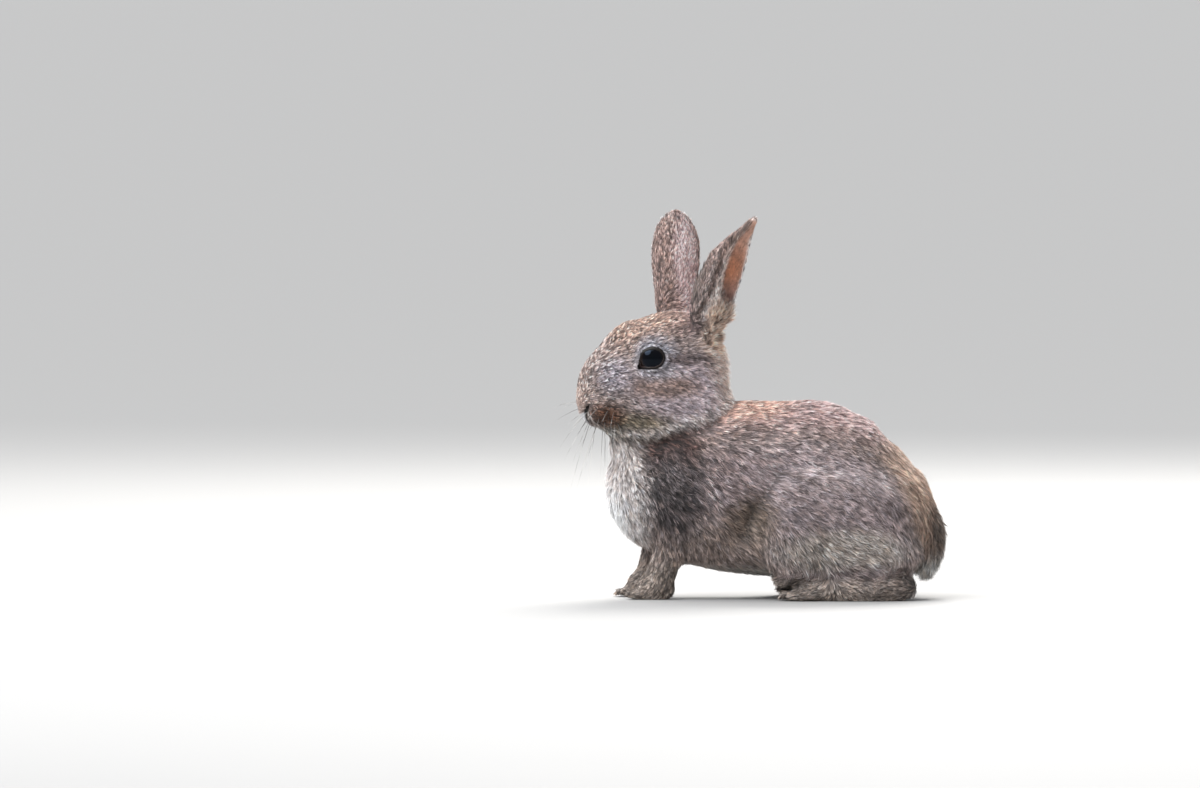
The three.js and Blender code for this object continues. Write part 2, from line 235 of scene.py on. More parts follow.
def normalsOf(co, tris):
    a, b, c = co[tris[:, 0]], co[tris[:, 1]], co[tris[:, 2]]
    flat = np.cross(b - a, c - a)
    total = np.zeros_like(co)
    for corner in range(3):
        for axis in range(3):
            total[:, axis] += np.bincount(tris[:, corner], flat[:, axis], len(co))
    return unit(total)


def spread(values, edges, rounds, strength):
    counts = np.bincount(edges.ravel(), minlength=len(values)).astype(float)
    counts[counts == 0] = 1
    values = values.copy()
    for _ in range(rounds):
        total = np.zeros_like(values)
        for axis in range(values.shape[1]):
            total[:, axis] += np.bincount(edges[:, 0], values[edges[:, 1], axis], len(values))
            total[:, axis] += np.bincount(edges[:, 1], values[edges[:, 0], axis], len(values))
        values += (total / counts[:, None] - values) * strength
    return values


# a cheap smooth noise in space, from a few crossed waves, between about -1 and 1
def ripple(points, size, seed):
    rng = np.random.default_rng(seed)
    total = np.zeros(len(points))
    for k in range(9):
        way = unit(rng.normal(size=3)) * rng.uniform(0.7, 1.5) * 2 * math.pi / (size * mm)
        total += np.sin(points @ way + rng.uniform(0, 2 * math.pi))
    return total / 3.2


# skin
skinMake = {
    "closeGaps": 0.5,  # flesh nodes grow by this, so that the cuts between them close
    "voxel": 0.95,
    "evenRounds": 30,
    "bodyRounds": 60,
    "keepBody": 0.29,  # share of the body's faces that stays
    "toeTip": {"reach": 3.2, "ahead": 7, "keep": 0.4},
}
fleshNodes = [n for n in frame["nodes"] if not n.startswith("eye")]
muzzle = {"middle": (20, 0, -22), "radii": (17.8, 17.5, 21.5), "front": 21, "top": -18}


# the solid head carries whiskers, which are a piece of their own here
def cutWhiskers(part):
    spots = toHead(np.array([v.co for v in part.verts]))
    outside = np.linalg.norm((spots - muzzle["middle"]) / muzzle["radii"], axis=1) > 1
    hairs = outside & (spots[:, 0] > muzzle["front"]) & (spots[:, 2] < muzzle["top"])
    part.verts.ensure_lookup_table()
    bmesh.ops.delete(part, geom=[part.verts[int(k)] for k in np.nonzero(hairs)[0]], context="VERTS")
    bmesh.ops.holes_fill(part, edges=[e for e in part.edges if e.is_boundary], sides=0)
    print("whisker corners cut", hairs.sum())


def joinFlesh():
    whole = bmesh.new()
    for name in fleshNodes:
        part = bmesh.new()
        part.from_mesh(frame["nodes"][name].data)
        bmesh.ops.remove_doubles(part, verts=part.verts, dist=0.01 * mm)
        if name == "head":
            cutWhiskers(part)
        part.normal_update()
        for v in part.verts:
            v.co += v.normal * skinMake["closeGaps"] * mm
        copy = bpy.data.meshes.new("copy")
        part.to_mesh(copy)
        part.free()
        whole.from_mesh(copy)
        bpy.data.meshes.remove(copy)
    mesh = bpy.data.meshes.new("skin")
    whole.to_mesh(mesh)
    whole.free()
    return mesh


def applied(piece):
    deps = bpy.context.evaluated_depsgraph_get()
    mesh = bpy.data.meshes.new_from_object(piece.evaluated_get(deps))
    old = piece.data
    piece.modifiers.clear()
    piece.data = mesh
    bpy.data.meshes.remove(old)
    return piece


def onEars(points):
    best = np.zeros(len(points))
    for line in earHollows.values():
        gap, _, share = nearestOnLine(points, line)
        near = easeIn((17 * mm - gap) / (4 * mm)) * easeIn((points[:, 2] / mm - 140) / 7) * (share > 0.02)
        best = np.maximum(best, near)
    return best


skin = linkMesh("skin", joinFlesh())
remesh = skin.modifiers.new("remesh", "REMESH")
remesh.mode = "VOXEL"
remesh.voxel_size = skinMake["voxel"] * mm
applied(skin)
print("skin remeshed", len(skin.data.vertices))

# four toes in front of each foot, counted from the foot's box
feet = {
    "fore": {"nodes": ("foreleg_left", "foreleg_right"), "halfWidth": 8.2, "toeLength": 14, "toeRadius": 2.4},
    "hind": {
        "nodes": ("hind_foot_left", "hind_foot_right"),
        "halfWidth": 9.4,
        "toeLength": 21,
        "toeRadius": 2.8,
    },
}
toeLook = {"places": (-1, -1 / 3, 1 / 3, 1), "forepawSide": 14.5, "arch": 0.14, "together": 0.92, "lift": 0.7}
clawLook = {
    "length": 5.0,
    "radius": 1.05,
    "tip": 0.12,
    "narrow": 0.8,
    "droop": 16,  # degrees below level
    "curl": 0.2,
    "ahead": 3.44,
    "rootAt": (1.4, 0, 0.2),  # from the tip of the toe
    "rings": 5,
}


def toesOf(foot):
    places = []
    for node in foot["nodes"]:
        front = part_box(node)[0].x / mm + clawLook["ahead"]
        middle = middleOf(node).y / mm
        if "hind" not in node:
            middle = math.copysign(toeLook["forepawSide"], middle)
        for place in toeLook["places"]:
            x = front + foot["toeLength"] * toeLook["arch"] * (abs(place * 1.5 + 0.4) - 0.1)
            y = middle + place * ((foot["halfWidth"] - foot["toeRadius"]) * toeLook["together"] - 0.8)
            places.append((x, y, foot["toeRadius"] + toeLook["lift"]))
    return places


toes = {name: toesOf(foot) for name, foot in feet.items()}

# the claws are pieces of their own, so the skin stops at the tips of the toes
co = pointsOf(skin.data)
toeTip = skinMake["toeTip"]
for x, y, z in toes["fore"] + toes["hind"]:
    gap = np.hypot(co[:, 1] / mm - y, co[:, 2] / mm - z)
    front = x + toeTip["keep"]
    ahead = (gap < toeTip["reach"]) & (co[:, 0] / mm < front) & (co[:, 0] / mm > x - toeTip["ahead"])
    co[ahead, 0] = front * mm

# even smoothing takes away facets and keeps the thickness; the body gets a longer, plain one after it
roughTree = BVHTree.FromPolygons([Vector(p) for p in co], trianglesOf(skin.data).tolist())
edges = edgesOf(skin.data)
onFeet = easeIn((15 - co[:, 2] / mm) / 4) * (np.abs(co[:, 1]) > 4 * mm)
thin = np.maximum(onEars(co), onFeet)
onHead = belongs(toHead(co), (-4, 0, -8), (42, 34, 40), 0.15)
onHead = np.maximum(onHead, belongs(toHead(co), (20, 0, -28), (24, 20, 19), 0.2))
for _ in range(skinMake["evenRounds"]):
    co = spread(co, edges, 1, 0.5)
    co = spread(co, edges, 1, -0.53)
co = spread(co, edges, skinMake["bodyRounds"], 0.5 * ((1 - thin) * (1 - onHead))[:, None])
skin.data.vertices.foreach_set("co", co.ravel())
skin.data.update()

# the body needs fewer faces than the head and ears
plain = skin.vertex_groups.new(name="plain")
fewer = (1 - np.maximum(onHead, np.maximum(thin, onEars(co)))) > 0.5
plain.add(np.nonzero(fewer)[0].tolist(), 1.0, "REPLACE")
decimate = skin.modifiers.new("decimate", "DECIMATE")
decimate.ratio = 1 - (1 - skinMake["keepBody"]) * fewer.mean()
decimate.vertex_group = "plain"
applied(skin)
skin.vertex_groups.clear()

# what the smoothing took from the rounded forms is given back, without their facets
co = pointsOf(skin.data)
normals = normalsOf(co, trianglesOf(skin.data))
nearest = np.array([roughTree.find_nearest(p)[0] for p in co])
lost = np.clip(np.sum((nearest - co) * normals, axis=1) / mm, -0.3, 2.0)
co += normals * spread(lost[:, None], edgesOf(skin.data), 25, 0.5) * mm
skin.data.vertices.foreach_set("co", co.ravel())
skin.data.update()
print("skin smoothed", len(skin.data.vertices), "lost", lost.mean(), lost.max())


# finer faces at the nose, mouth and eyes
def refine(piece, chosen):
    mesh = bmesh.new()
    mesh.from_mesh(piece.data)
    bmesh.ops.triangulate(mesh, faces=mesh.faces)
    mesh.faces.ensure_lookup_table()
    centres = np.array([f.calc_center_median() for f in mesh.faces])
    faces = [mesh.faces[int(k)] for k in np.nonzero(chosen(centres))[0]]
    around = list({e for f in faces for e in f.edges})
    bmesh.ops.subdivide_edges(mesh, edges=around, cuts=1, use_grid_fill=True, smooth=0.0)
    bmesh.ops.triangulate(mesh, faces=mesh.faces)
    mesh.to_mesh(piece.data)
    mesh.free()


def nearEyes(points, reach):
    gaps = [np.linalg.norm(points - np.array(eye), axis=1) for eye in (leftEye, rightEye)]
    return np.minimum(*gaps) < reach * mm


refine(skin, lambda c: (toHead(c)[:, 0] > 17) & (toHead(c)[:, 2] < -14) | nearEyes(c, 12.5))
refine(skin, lambda c: (toHead(c)[:, 0] > 26) & (toHead(c)[:, 2] < -19))
print("skin refined", len(skin.data.polygons))

# places on the coat: where each is, its colour, and how its hair grows
# body places are (along, out from the middle, up); head places are (forward, to the side, up)
# hair is (length, lift in degrees, width)
coatBase = {"colour": (0.3, 0.235, 0.21), "hair": (7, 14, 0.34)}


def place(at, size, colour, hair):
    return {"at": at, "size": size, "colour": colour, "hair": hair}


bodyPlaces = {
    "back": place((12, 0, 100), (95, 27, 24), (0.54, 0.375, 0.36), (7.6, 11, 0.32)),
    "rump": place((78, 0, 62), (26, 30, 30), (0.62, 0.43, 0.33), (8.5, 13, 0.33)),
    "flank": place((10, 40, 62), (62, 20, 24), (0.43, 0.345, 0.35), (9.5, 12, 0.33)),
    "haunch": place((45, 44, 38), (44, 18, 32), (0.33, 0.265, 0.265), (9, 12, 0.33)),
    "haunchBand": place((34, 38, 66), (40, 14, 7), (0.46, 0.375, 0.375), (9, 12, 0.33)),
    "haunchLow": place((40, 42, 30), (34, 16, 10), (0.5, 0.435, 0.39), (8.5, 14, 0.33)),
    # the dark colour low on the ribs is painted shade in the hollow between the elbow and the haunch
    "ribsLowShade": place((-11, 36, 44), (15, 16, 15), (0.22, 0.165, 0.13), (9, 15, 0.33)),
    "belly": place((5, 0, 0), (95, 32, 20), (0.6, 0.56, 0.51), (8, 15, 0.36)),
    "nape": place((-14, 0, 99), (24, 24, 12), (0.76, 0.455, 0.36), (7.2, 12, 0.32)),
    "behindNeck": place((-24, 36, 70), (13, 15, 14), (0.35, 0.27, 0.265), (9, 12, 0.33)),
    # the near-black colour at the side of the neck is painted shadow under the head, where the jaw overhangs
    # the neck
    "neckSide": place((-51, 24, 80), (17, 16, 13), (0.085, 0.042, 0.034), (7, 16, 0.32)),
    "shoulder": place((-51, 32, 58), (17, 16, 24), (0.12, 0.098, 0.098), (7.5, 18, 0.33)),
    "chestSide": place((-75, 15, 50), (15, 16, 26), (0.72, 0.65, 0.63), (8, 21, 0.32)),
    "chest": place((-85, 0, 49), (14, 20, 25), (1.45, 1.45, 1.45), (8.5, 22, 0.33)),
    "throat": place((-77, 0, 76), (15, 21, 20), (0.78, 0.69, 0.655), (7, 20, 0.3)),
    "forepaw": place((-60, 16, 4), (26, 16, 20), (0.38, 0.31, 0.265), (3, 13, 0.26)),
    "hindFoot": place((42, 31, 2), (46, 14, 12), (0.4, 0.33, 0.285), (3.6, 12, 0.28)),
    "tailTop": place((92, 0, 38), (9, 12, 18), (0.24, 0.18, 0.145), (8, 22, 0.34)),
    "tailUnder": place((90, 0, 16), (11, 13, 11), (0.7, 0.67, 0.63), (8.5, 25, 0.34)),
}
headPlaces = {
    "head": place((-2, 0, -8), (48, 36, 44), (0.4, 0.32, 0.3), (4, 14, 0.29)),
    "backOfHead": place((-36, 0, -6), (15, 28, 30), (0.85, 0.66, 0.58), (7.5, 30, 0.26)),
    "crown": place((-18, 0, 20), (22, 20, 11), (0.29, 0.195, 0.2), (3.8, 14, 0.3)),
    "forehead": place((8, 0, 16), (30, 20, 15), (0.49, 0.325, 0.26), (3.2, 13, 0.3)),
    "cheek": place((-10, 24, -15), (24, 12, 17), (0.56, 0.46, 0.485), (5.2, 14, 0.29)),
    "underEye": place((-2, 22, -14), (20, 9, 6), (0.37, 0.265, 0.235), (3.6, 12, 0.24)),
    "bridge": place((27, 0, -3), (11, 12, 14), (0.56, 0.42, 0.38), (2.6, 13, 0.28)),
    "muzzleSide": place((18, 11, -10), (11, 8, 9), (0.43, 0.38, 0.42), (2.8, 13, 0.27)),
    # the dark colour of the low cheek is painted shade on the underside of the head, just above the jaw's
    # edge
    "lowCheek": place((8, 14, -35), (23, 14, 8), (0.205, 0.165, 0.115), (5, 16, 0.26)),
    "whiskerPad": place((23.5, 9, -28), (9.5, 8, 6.6), (0.16, 0.076, 0.045), (2.4, 20, 0.26)),
    "nose": place((35, 0, -21), (7.5, 8, 9.5), (0.76, 0.56, 0.49), (1.3, 13, 0.26)),
    "chin": place((21, 0, -39), (12, 9, 4.6), (0.62, 0.58, 0.54), (3, 18, 0.24)),
    "aroundEye": place((1, 23, 1.5), (11.5, 9, 10.5), (0.55, 0.525, 0.575), (2.2, 12, 0.2)),
    "behindEye": place((-16, 22, -0.3), (12, 7, 3.0), (0.2, 0.155, 0.155), (3.4, 12, 0.24)),
}
earHair = {
    "outside": {"colour": (0.43, 0.29, 0.255), "hair": (2.8, 13, 0.28)},
    "inside": {"colour": (0.64, 0.38, 0.29), "hair": (1.6, 12, 0.14), "from": 144},
    "insideMid": {"at": 171, "reach": 12, "colour": (0.62, 0.26, 0.14)},
    # the darker colour low inside the ear is painted shade deep in its hollow
    "insideLowShade": {"at": 152, "reach": 11, "colour": (0.34, 0.17, 0.14)},
    "tip": {"from": 196, "over": 2.5},
    # the fold's dark band is painted shade along the fold of the near ear
    "fold": {
        "line": [(-7, 195.5), (-17.4, 183.6), (-22.2, 174.7), (-25.2, 165.7), (-29, 155.5), (-36, 143)],
        "width": 2.4,
        "colour": (0.16, 0.095, 0.075),
    },
    # the ear's edge hairs are pale, and their colour is pushed past white as painted back light on the rim
    "edge": {"colour": (1.25, 1.22, 1.2), "hair": (2.8, 34, 0.2)},
    "base": {"colour": (0.86, 0.63, 0.51), "hair": (7, 26, 0.26)},
    "fringe": {
        "line": [(-8, 195), (-14.9, 186.5), (-18.4, 178.4), (-20.5, 170.9), (-23.1, 162.8), (-24.5, 148)],
        "width": 1.2,
        "colour": (1.0, 0.85, 0.78),
        "hair": (4.5, 20, 0.2),
    },
    # the pink on the far ear's outer side is painted light shining through the thin ear
    "thin": {"at": (-39, 14, 172), "size": (7, 9, 28), "colour": (0.95, 0.69, 0.68)},
}

# the lower edge of the head's coat, which overhangs the neck: heights by place along the head
jawLine = {
    "swell": {"rise": 1.0, "height": 2.5, "width": 3},
    "crease": {"rise": 1.6, "height": -4, "width": 3.5},
    "along": (-46, -40, -35.7, -27, -12, 0.4, 10, 24.6, 30, 36),
    "height": (-12, -19.4, -26.4, -30.7, -34.8, -39, -40.4, -39.5, -39.5, -39),
    # the rim's pale colour is partly the pale tips of the cheek's coat and partly painted back light on them
    "rim": {"colour": (0.5, 0.44, 0.42), "hair": (6.5, 27, 0.3)},
}


def lineGap(spots, line):
    line = np.array(line, float)
    best = np.full(len(spots), 1e9)
    for a, b in zip(line[:-1], line[1:]):
        t = np.clip((spots - a) @ (b - a) / ((b - a) @ (b - a)), 0, 1)
        best = np.minimum(best, np.linalg.norm(spots - a - t[:, None] * (b - a), axis=1))
    return best


def aboveJaw(spots):
    return spots[:, 2] - np.interp(spots[:, 0], jawLine["along"], jawLine["height"])


def onRim(spots, height=2.4, width=2.4):
    front = easeIn((21 - spots[:, 0]) / 8)
    return np.exp(-(((aboveJaw(spots) - height) / width) ** 2)) * front


# the way the hair lies, at named places
bodyLie = {
    "nape": ((-20, 0, 100), (1, 0, -0.05)),
    "neckSide": ((-40, 25, 85), (0.75, 0.1, -0.6)),
    "throat": ((-75, 0, 80), (0.3, 0, -1)),
    "chest": ((-84, 0, 60), (0.15, 0, -1)),
    "underChest": ((-70, 0, 38), (0.8, 0, -0.5)),
    "shoulder": ((-40, 32, 55), (0.7, 0.1, -0.75)),
    "armLow": ((-52, 30, 30), (0.2, 0, -1)),
    "back": ((10, 0, 104), (1, 0, 0)),
    "backSide": ((10, 25, 90), (0.95, 0.1, -0.3)),
    "flank": ((5, 36, 60), (0.92, 0.05, -0.38)),
    "flankLow": ((0, 33, 30), (0.9, 0, -0.35)),
    "belly": ((0, 0, 5), (1, 0, 0)),
    "haunchTop": ((45, 30, 75), (0.88, 0.1, -0.48)),
    "haunch": ((45, 43, 45), (0.82, 0, -0.55)),
    "knee": ((5, 42, 30), (0.6, 0, -0.75)),
    "haunchLow": ((50, 38, 18), (0.9, 0, -0.35)),
    "rumpTop": ((75, 0, 72), (0.65, 0, -0.75)),
    "rumpSide": ((76, 28, 50), (0.65, 0.1, -0.75)),
    "rear": ((90, 14, 30), (0.1, 0, -1)),
    "tailTop": ((94, 0, 44), (0.3, 0, -0.95)),
    "tailTip": ((96, 0, 20), (0, 0, -1)),
    "foreleg": ((-54, 15, 20), (-0.3, 0, -1)),
    "forepaw": ((-70, 15, 6), (-1, 0, -0.2)),
    "hindToes": ((20, 31, 8), (-1, 0, -0.15)),
    "heel": ((70, 31, 8), (-1, 0, 0)),
}
headLie = {
    "noseTip": ((36, 0, -20), (-0.35, 0, 1)),
    "bridge": ((20, 0, 5), (-0.8, 0, 0.55)),
    "muzzleSide": ((22, 10, -12), (-0.9, 0.3, 0.25)),
    "forehead": ((0, 0, 18), (-1, 0, 0.2)),
    "crown": ((-20, 0, 24), (-1, 0, -0.1)),
    "back": ((-44, 0, 0), (-0.5, 0, -0.9)),
    "pad": ((24, 9, -28), (-0.75, 0.5, -0.3)),
    "lip": ((32, 3, -33), (-0.3, 0.3, -1)),
    "chin": ((22, 0, -39), (-1, 0, -0.1)),
    "cheek": ((0, 20, -18), (-1, 0.1, -0.3)),
    "lowCheek": ((0, 16, -33), (-0.9, 0.2, -0.55)),
    "behindEye": ((-14, 21, 2), (-1, 0.1, -0.05)),
    "aboveEye": ((0, 17, 12), (-0.85, 0.2, 0.5)),
    "beforeEye": ((12, 14, -2), (-0.9, 0.3, 0.15)),
    "underEye": ((2, 20, -9), (-0.95, 0.1, -0.35)),
    "backCheek": ((-26, 23, -16), (-0.85, 0, -0.5)),
}


def lieOf(points, normals):
    places, ways = [], []
    for onHead, named in ((False, bodyLie), (True, headLie)):
        for at, way in named.values():
            for side in (-1, 1) if at[1] else (1,):
                mirror = np.array((1, side, 1))
                spot, lean = at * mirror, way * mirror
                places.append(toBody(fromHead(spot)) if onHead else spot)
                ways.append(directionFromHead(lean) if onHead else lean)
    for line in earHollows.values():
        for k in range(1, len(line) - 1):
            places.append(line[k])
            ways.append(np.array(line[k + 1]) - np.array(line[k - 1]))
    places, ways = np.array(places), unit(np.array(ways, float))
    lie = np.zeros_like(points)
    for place, way in zip(places, ways):
        lie += way * (1 / (np.sum((toBody(points) - place) ** 2, axis=1) + 12)[:, None] ** 1.8)
    lie -= normals * np.sum(lie * normals, axis=1)[:, None]
    return unit(lie)


def growOnEars(points, normals, colour, hair):
    inside = np.zeros(len(points))
    height = points[:, 2] / mm
    fromSide = toBody(points)[:, [0, 2]]
    nearSide = (points[:, 1] < 0) * (normals[:, 1] < 0.2)
    outer, inner, edge, thin, base, fold, fringe, tip = (
        earHair[name] for name in ("outside", "inside", "edge", "thin", "base", "fold", "fringe", "tip")
    )
    line = np.array(fringe["line"])[::-1]
    opened = easeIn((fromSide[:, 0] - np.interp(height, line[:, 1], line[:, 0])) / 1.2 + 0.5) * nearSide
    for hollowLine in earHollows.values():
        gap, spot, _ = nearestOnLine(points, hollowLine)
        ear = easeIn((17 * mm - gap) / (4 * mm)) * easeIn((height - 141) / 8)
        facing = np.sum(unit(spot - points) * normals, axis=1)
        hollow = np.maximum(easeIn(facing * 2.2 + 0.5), opened) * easeIn((height - inner["from"]) / 12)
        rim = np.exp(-((facing / 0.5) ** 2)) * easeIn((gap / mm - 3) / 2)
        rim = rim * (1 - opened * (points[:, 0] < spot[:, 0]))
        rim = 0.9 * np.maximum(rim, nearSide * easeIn((height - tip["from"]) / tip["over"]))
        toward(colour, outer["colour"], ear)
        toward(hair, outer["hair"], ear)
        toward(colour, inner["colour"], ear * hollow)
        for part in ("insideMid", "insideLowShade"):
            share = np.exp(-(((height - earHair[part]["at"]) / earHair[part]["reach"]) ** 2))
            toward(colour, earHair[part]["colour"], ear * hollow * share)
        toward(hair, inner["hair"], ear * hollow)
        # the ear's rim takes the edge colour: pale hairs brightened as painted back light
        toward(colour, edge["colour"], ear * rim)
        toward(hair, edge["hair"], ear * rim)
        inside = np.maximum(inside, ear * hollow)
    onNearEar = nearSide * easeIn((height - 140) / 8)
    width = fringe["width"] + 3 * easeIn((168 - height) / 16)
    share = np.exp(-((lineGap(fromSide, fringe["line"]) / width) ** 2)) * onNearEar
    toward(colour, fringe["colour"], 0.75 * share)
    toward(hair, fringe["hair"], share)
    inside *= 1 - 0.8 * share
    # painted shade along the ear's fold
    share = np.exp(-((lineGap(fromSide, fold["line"]) / fold["width"]) ** 2)) * onNearEar * (1 - inside)
    toward(colour, fold["colour"], 0.85 * share)
    # painted light shining through the far ear
    toward(colour, thin["colour"], belongs(toBody(points), thin["at"], thin["size"]) * (1 - inside))
    for hollowLine in earHollows.values():
        gap, _, _ = nearestOnLine(points, hollowLine)
        share = easeIn((10 - gap / mm) / 4) * easeIn((156 - height) / 10) * easeIn((fromSide[:, 0] + 52) / 5)
        toward(colour, base["colour"], share)
        toward(hair, base["hair"], share)
    return inside


def grownBy(points, normals):
    sided, inHead = sidedBody(points), sidedHead(points)
    colour = np.tile(coatBase["colour"], (len(points), 1)).astype(float)
    hair = np.tile(coatBase["hair"], (len(points), 1)).astype(float)
    onHead = easeIn(aboveJaw(inHead) / 3 + 0.5)
    for spots, places, limit in ((sided, bodyPlaces, 1), (inHead, headPlaces, onHead)):
        for spot in places.values():
            share = belongs(spots, spot["at"], spot["size"]) * limit
            toward(colour, spot["colour"], share)
            toward(hair, spot["hair"], share)
    # pale rim along the jaw's edge: partly the coat's pale tips, partly painted back light
    rim = 0.85 * (onRim(inHead) * belongs(inHead, (-6, 0, -20), (42, 36, 34), 0.2))
    toward(colour, jawLine["rim"]["colour"], rim)
    toward(hair, jawLine["rim"]["hair"], rim)
    inside = growOnEars(points, normals, colour, hair)
    return colour, hair, inside


# the skin lies inside the outline by the depth of the coat on it
co = pointsOf(skin.data)
tris = trianglesOf(skin.data)
edges = edgesOf(skin.data)
normals = normalsOf(co, tris)
_, hair, _ = grownBy(co, normals)
ears = onEars(co)
depth = np.sin(np.radians(hair[:, 1])) * hair[:, 0] * 0.72 + 0.1 + skinMake["closeGaps"]
depth += (skinMake["closeGaps"] - depth) * easeIn(ears * 1.6)
depth = spread(depth[:, None], edges, 12, 0.5)
co -= normals * depth * mm
print("skin sunk by", depth.min(), depth.max())

# the face: nostrils, lips, pads and eye sockets
# grooves are lines of (along, up) as they look from the left side, each with a width and a depth
grooves = {
    "nostril": {"line": [(-91.3, 98.9), (-91.8, 97.6), (-92.0, 96.6)], "width": 1.15, "depth": 1.8},
    "nostrilTop": {"line": [(-90.0, 101.4), (-91.3, 98.9)], "width": 0.6, "depth": 1.3},
    "lipEdge": {"line": [(-91.9, 96.2), (-91, 94.2), (-89.8, 92), (-88, 90)], "width": 0.6, "depth": 1.0},
    "mouth": {"line": [(-89.2, 89.8), (-85.5, 88.6), (-81, 88)], "width": 0.7, "depth": 0.5},
    "padTop": {
        "line": [(-79.5, 104), (-77.2, 104.4), (-74.9, 104), (-72.4, 101.6)],
        "width": 0.8,
        "depth": 0.8,
    },
    "behindEye": {"line": [(-50.4, 127.9), (-44.4, 127), (-34, 124)], "width": 1.2, "depth": 0.8},
}
oneSided = ("lipEdge",)
sideTree = BVHTree.FromPolygons([Vector(p) for p in co], tris.tolist())


# a line seen from the side is laid on the skin, and on the other cheek as well
def laidOnSkin(groove, bothSides):
    found = []
    for along, up in groove["line"]:
        start = Vector((along + bodyMiddle[0], -90, up + 90 * 0.035)) * mm
        spot = sideTree.ray_cast(start, Vector((0, 1, -0.035)))[0]
        if spot is None:
            spot = sideTree.find_nearest(Vector((along + bodyMiddle[0], -5, up)) * mm)[0]
        found.append(np.array(spot))
    found = toHead(np.array(found))
    return [found, found * (1, -1, 1)] if bothSides else [found]


grooveShare, besideGroove = {}, {}
for name, groove in grooves.items():
    lines = laidOnSkin(groove, name not in oneSided)
    gaps = np.min([lineGap(toHead(co), line) for line in lines], axis=0)
    grooveShare[name] = np.exp(-((gaps / groove["width"]) ** 2))
    besideGroove[name] = np.exp(-((gaps / (groove["width"] + 1.4)) ** 2))

# the front of the upper lip, ahead of its edge
lipFront = {
    "from": -27.3,
    "to": -37.5,
    "halfWidth": 6,
    "colour": (1.0, 1.0, 1.05),
    "hair": (1.0, 14, 0.2),
    "rim": (0.85, 0.76, 0.72),
}
edgeLine = laidOnSkin(grooves["lipEdge"], False)[0]
spots = toHead(co)
aheadOfEdge = spots[:, 0] - np.interp(-spots[:, 2], -edgeLine[:, 2], edgeLine[:, 0])
atLip = easeIn((lipFront["from"] - spots[:, 2]) / 0.8) * easeIn((spots[:, 2] - lipFront["to"]) / 1.5)
onLip = easeIn(aheadOfEdge / 0.5) * atLip * (np.abs(spots[:, 1]) < lipFront["halfWidth"])
behindLip = np.exp(-(((aheadOfEdge + 1.2) / 0.6) ** 2)) * atLip

# folds of the body, as lines of (along, up) on its sides, with a width and a height that may be negative
folds = {
    "haunchFront": {"line": [(3, 67), (-3, 58), (-9, 47), (-12, 36)], "width": 5.5, "rise": -2.2},
    "haunchTop": {"line": [(3, 68), (27, 74.5), (50, 69), (76, 56)], "width": 4.5, "rise": -1.2},
    "haunchBand": {"line": [(8, 59), (28, 66), (48, 61), (70, 49)], "width": 6, "rise": 0.7},
    "elbow": {"line": [(-36, 66), (-33, 52), (-38, 38)], "width": 7, "rise": -1.2},
}
# rounded places that stand out, or sink in where the rise is negative
headSwells = {
    "whiskerPad": {"at": (24, 9.5, -28.5), "size": (8, 6, 5.8), "rise": 0.9, "soft": 0.5},
    "lips": {"at": (34, 0, -32), "size": (5, 5.5, 5), "rise": 1.2, "soft": 0.6},
    "noseWing": {"at": (35, 3.2, -23), "size": (4, 3, 3.4), "rise": 0.6, "soft": 0.6},
    "bridge": {"at": (30, 0, -3), "size": (10, 14, 16), "rise": 1.5, "soft": 0.5},
    "brow": {"at": (17, 0, 14), "size": (11, 13, 8), "rise": 1.5, "soft": 0.5},
    "backOfHead": {"at": (-42, 0, 0), "size": (10, 24, 18), "rise": -1.3, "soft": 0.5},
}
bodySwells = {
    "loin": {"at": (58, 0, 84), "size": (17, 34, 12), "rise": 2.2, "soft": 0.5},
    "rump": {"at": (81, 0, 68), "size": (10, 26, 12), "rise": -1.4, "soft": 0.5},
    "knee": {"at": (11, 30, 9), "size": (6, 12, 4), "rise": 2.2, "soft": 0.5},
}
earFloor = {"rise": 2.5, "reach": 12, "top": 160}  # the hollow of each ear is shallower near its base

normals = normalsOf(co, tris)
spots, sided = sidedHead(co), sidedBody(co)
push = np.zeros(len(co))
for name, groove in grooves.items():
    push -= groove["depth"] * grooveShare[name]
onSide = easeIn((sided[:, 1] - 14) / 8)
for fold in folds.values():
    push += fold["rise"] * onSide * np.exp(-((lineGap(sided[:, [0, 2]], fold["line"]) / fold["width"]) ** 2))
nearJaw = belongs(spots, (-6, 0, -20), (44, 36, 38), 0.2) * easeIn((spots[:, 1] - 5) / 6)
swell, crease = (
    jawLine[name]["rise"] * onRim(spots, jawLine[name]["height"], jawLine[name]["width"])
    for name in ("swell", "crease")
)
push += nearJaw * (swell - crease)
for here, swells in ((spots, headSwells), (sided, bodySwells)):
    for form in swells.values():
        push += form["rise"] * belongs(here, form["at"], form["size"], form["soft"])
for line in earHollows.values():
    gap, spot, _ = nearestOnLine(co, line)
    facing = np.sum(unit(spot - co) * normals, axis=1)
    rise = earFloor["rise"] * easeIn(facing) * easeIn((earFloor["reach"] - gap / mm) / 4)
    push += rise * easeIn((earFloor["top"] - co[:, 2] / mm) / 10)
co += normals * (push * mm)[:, None]

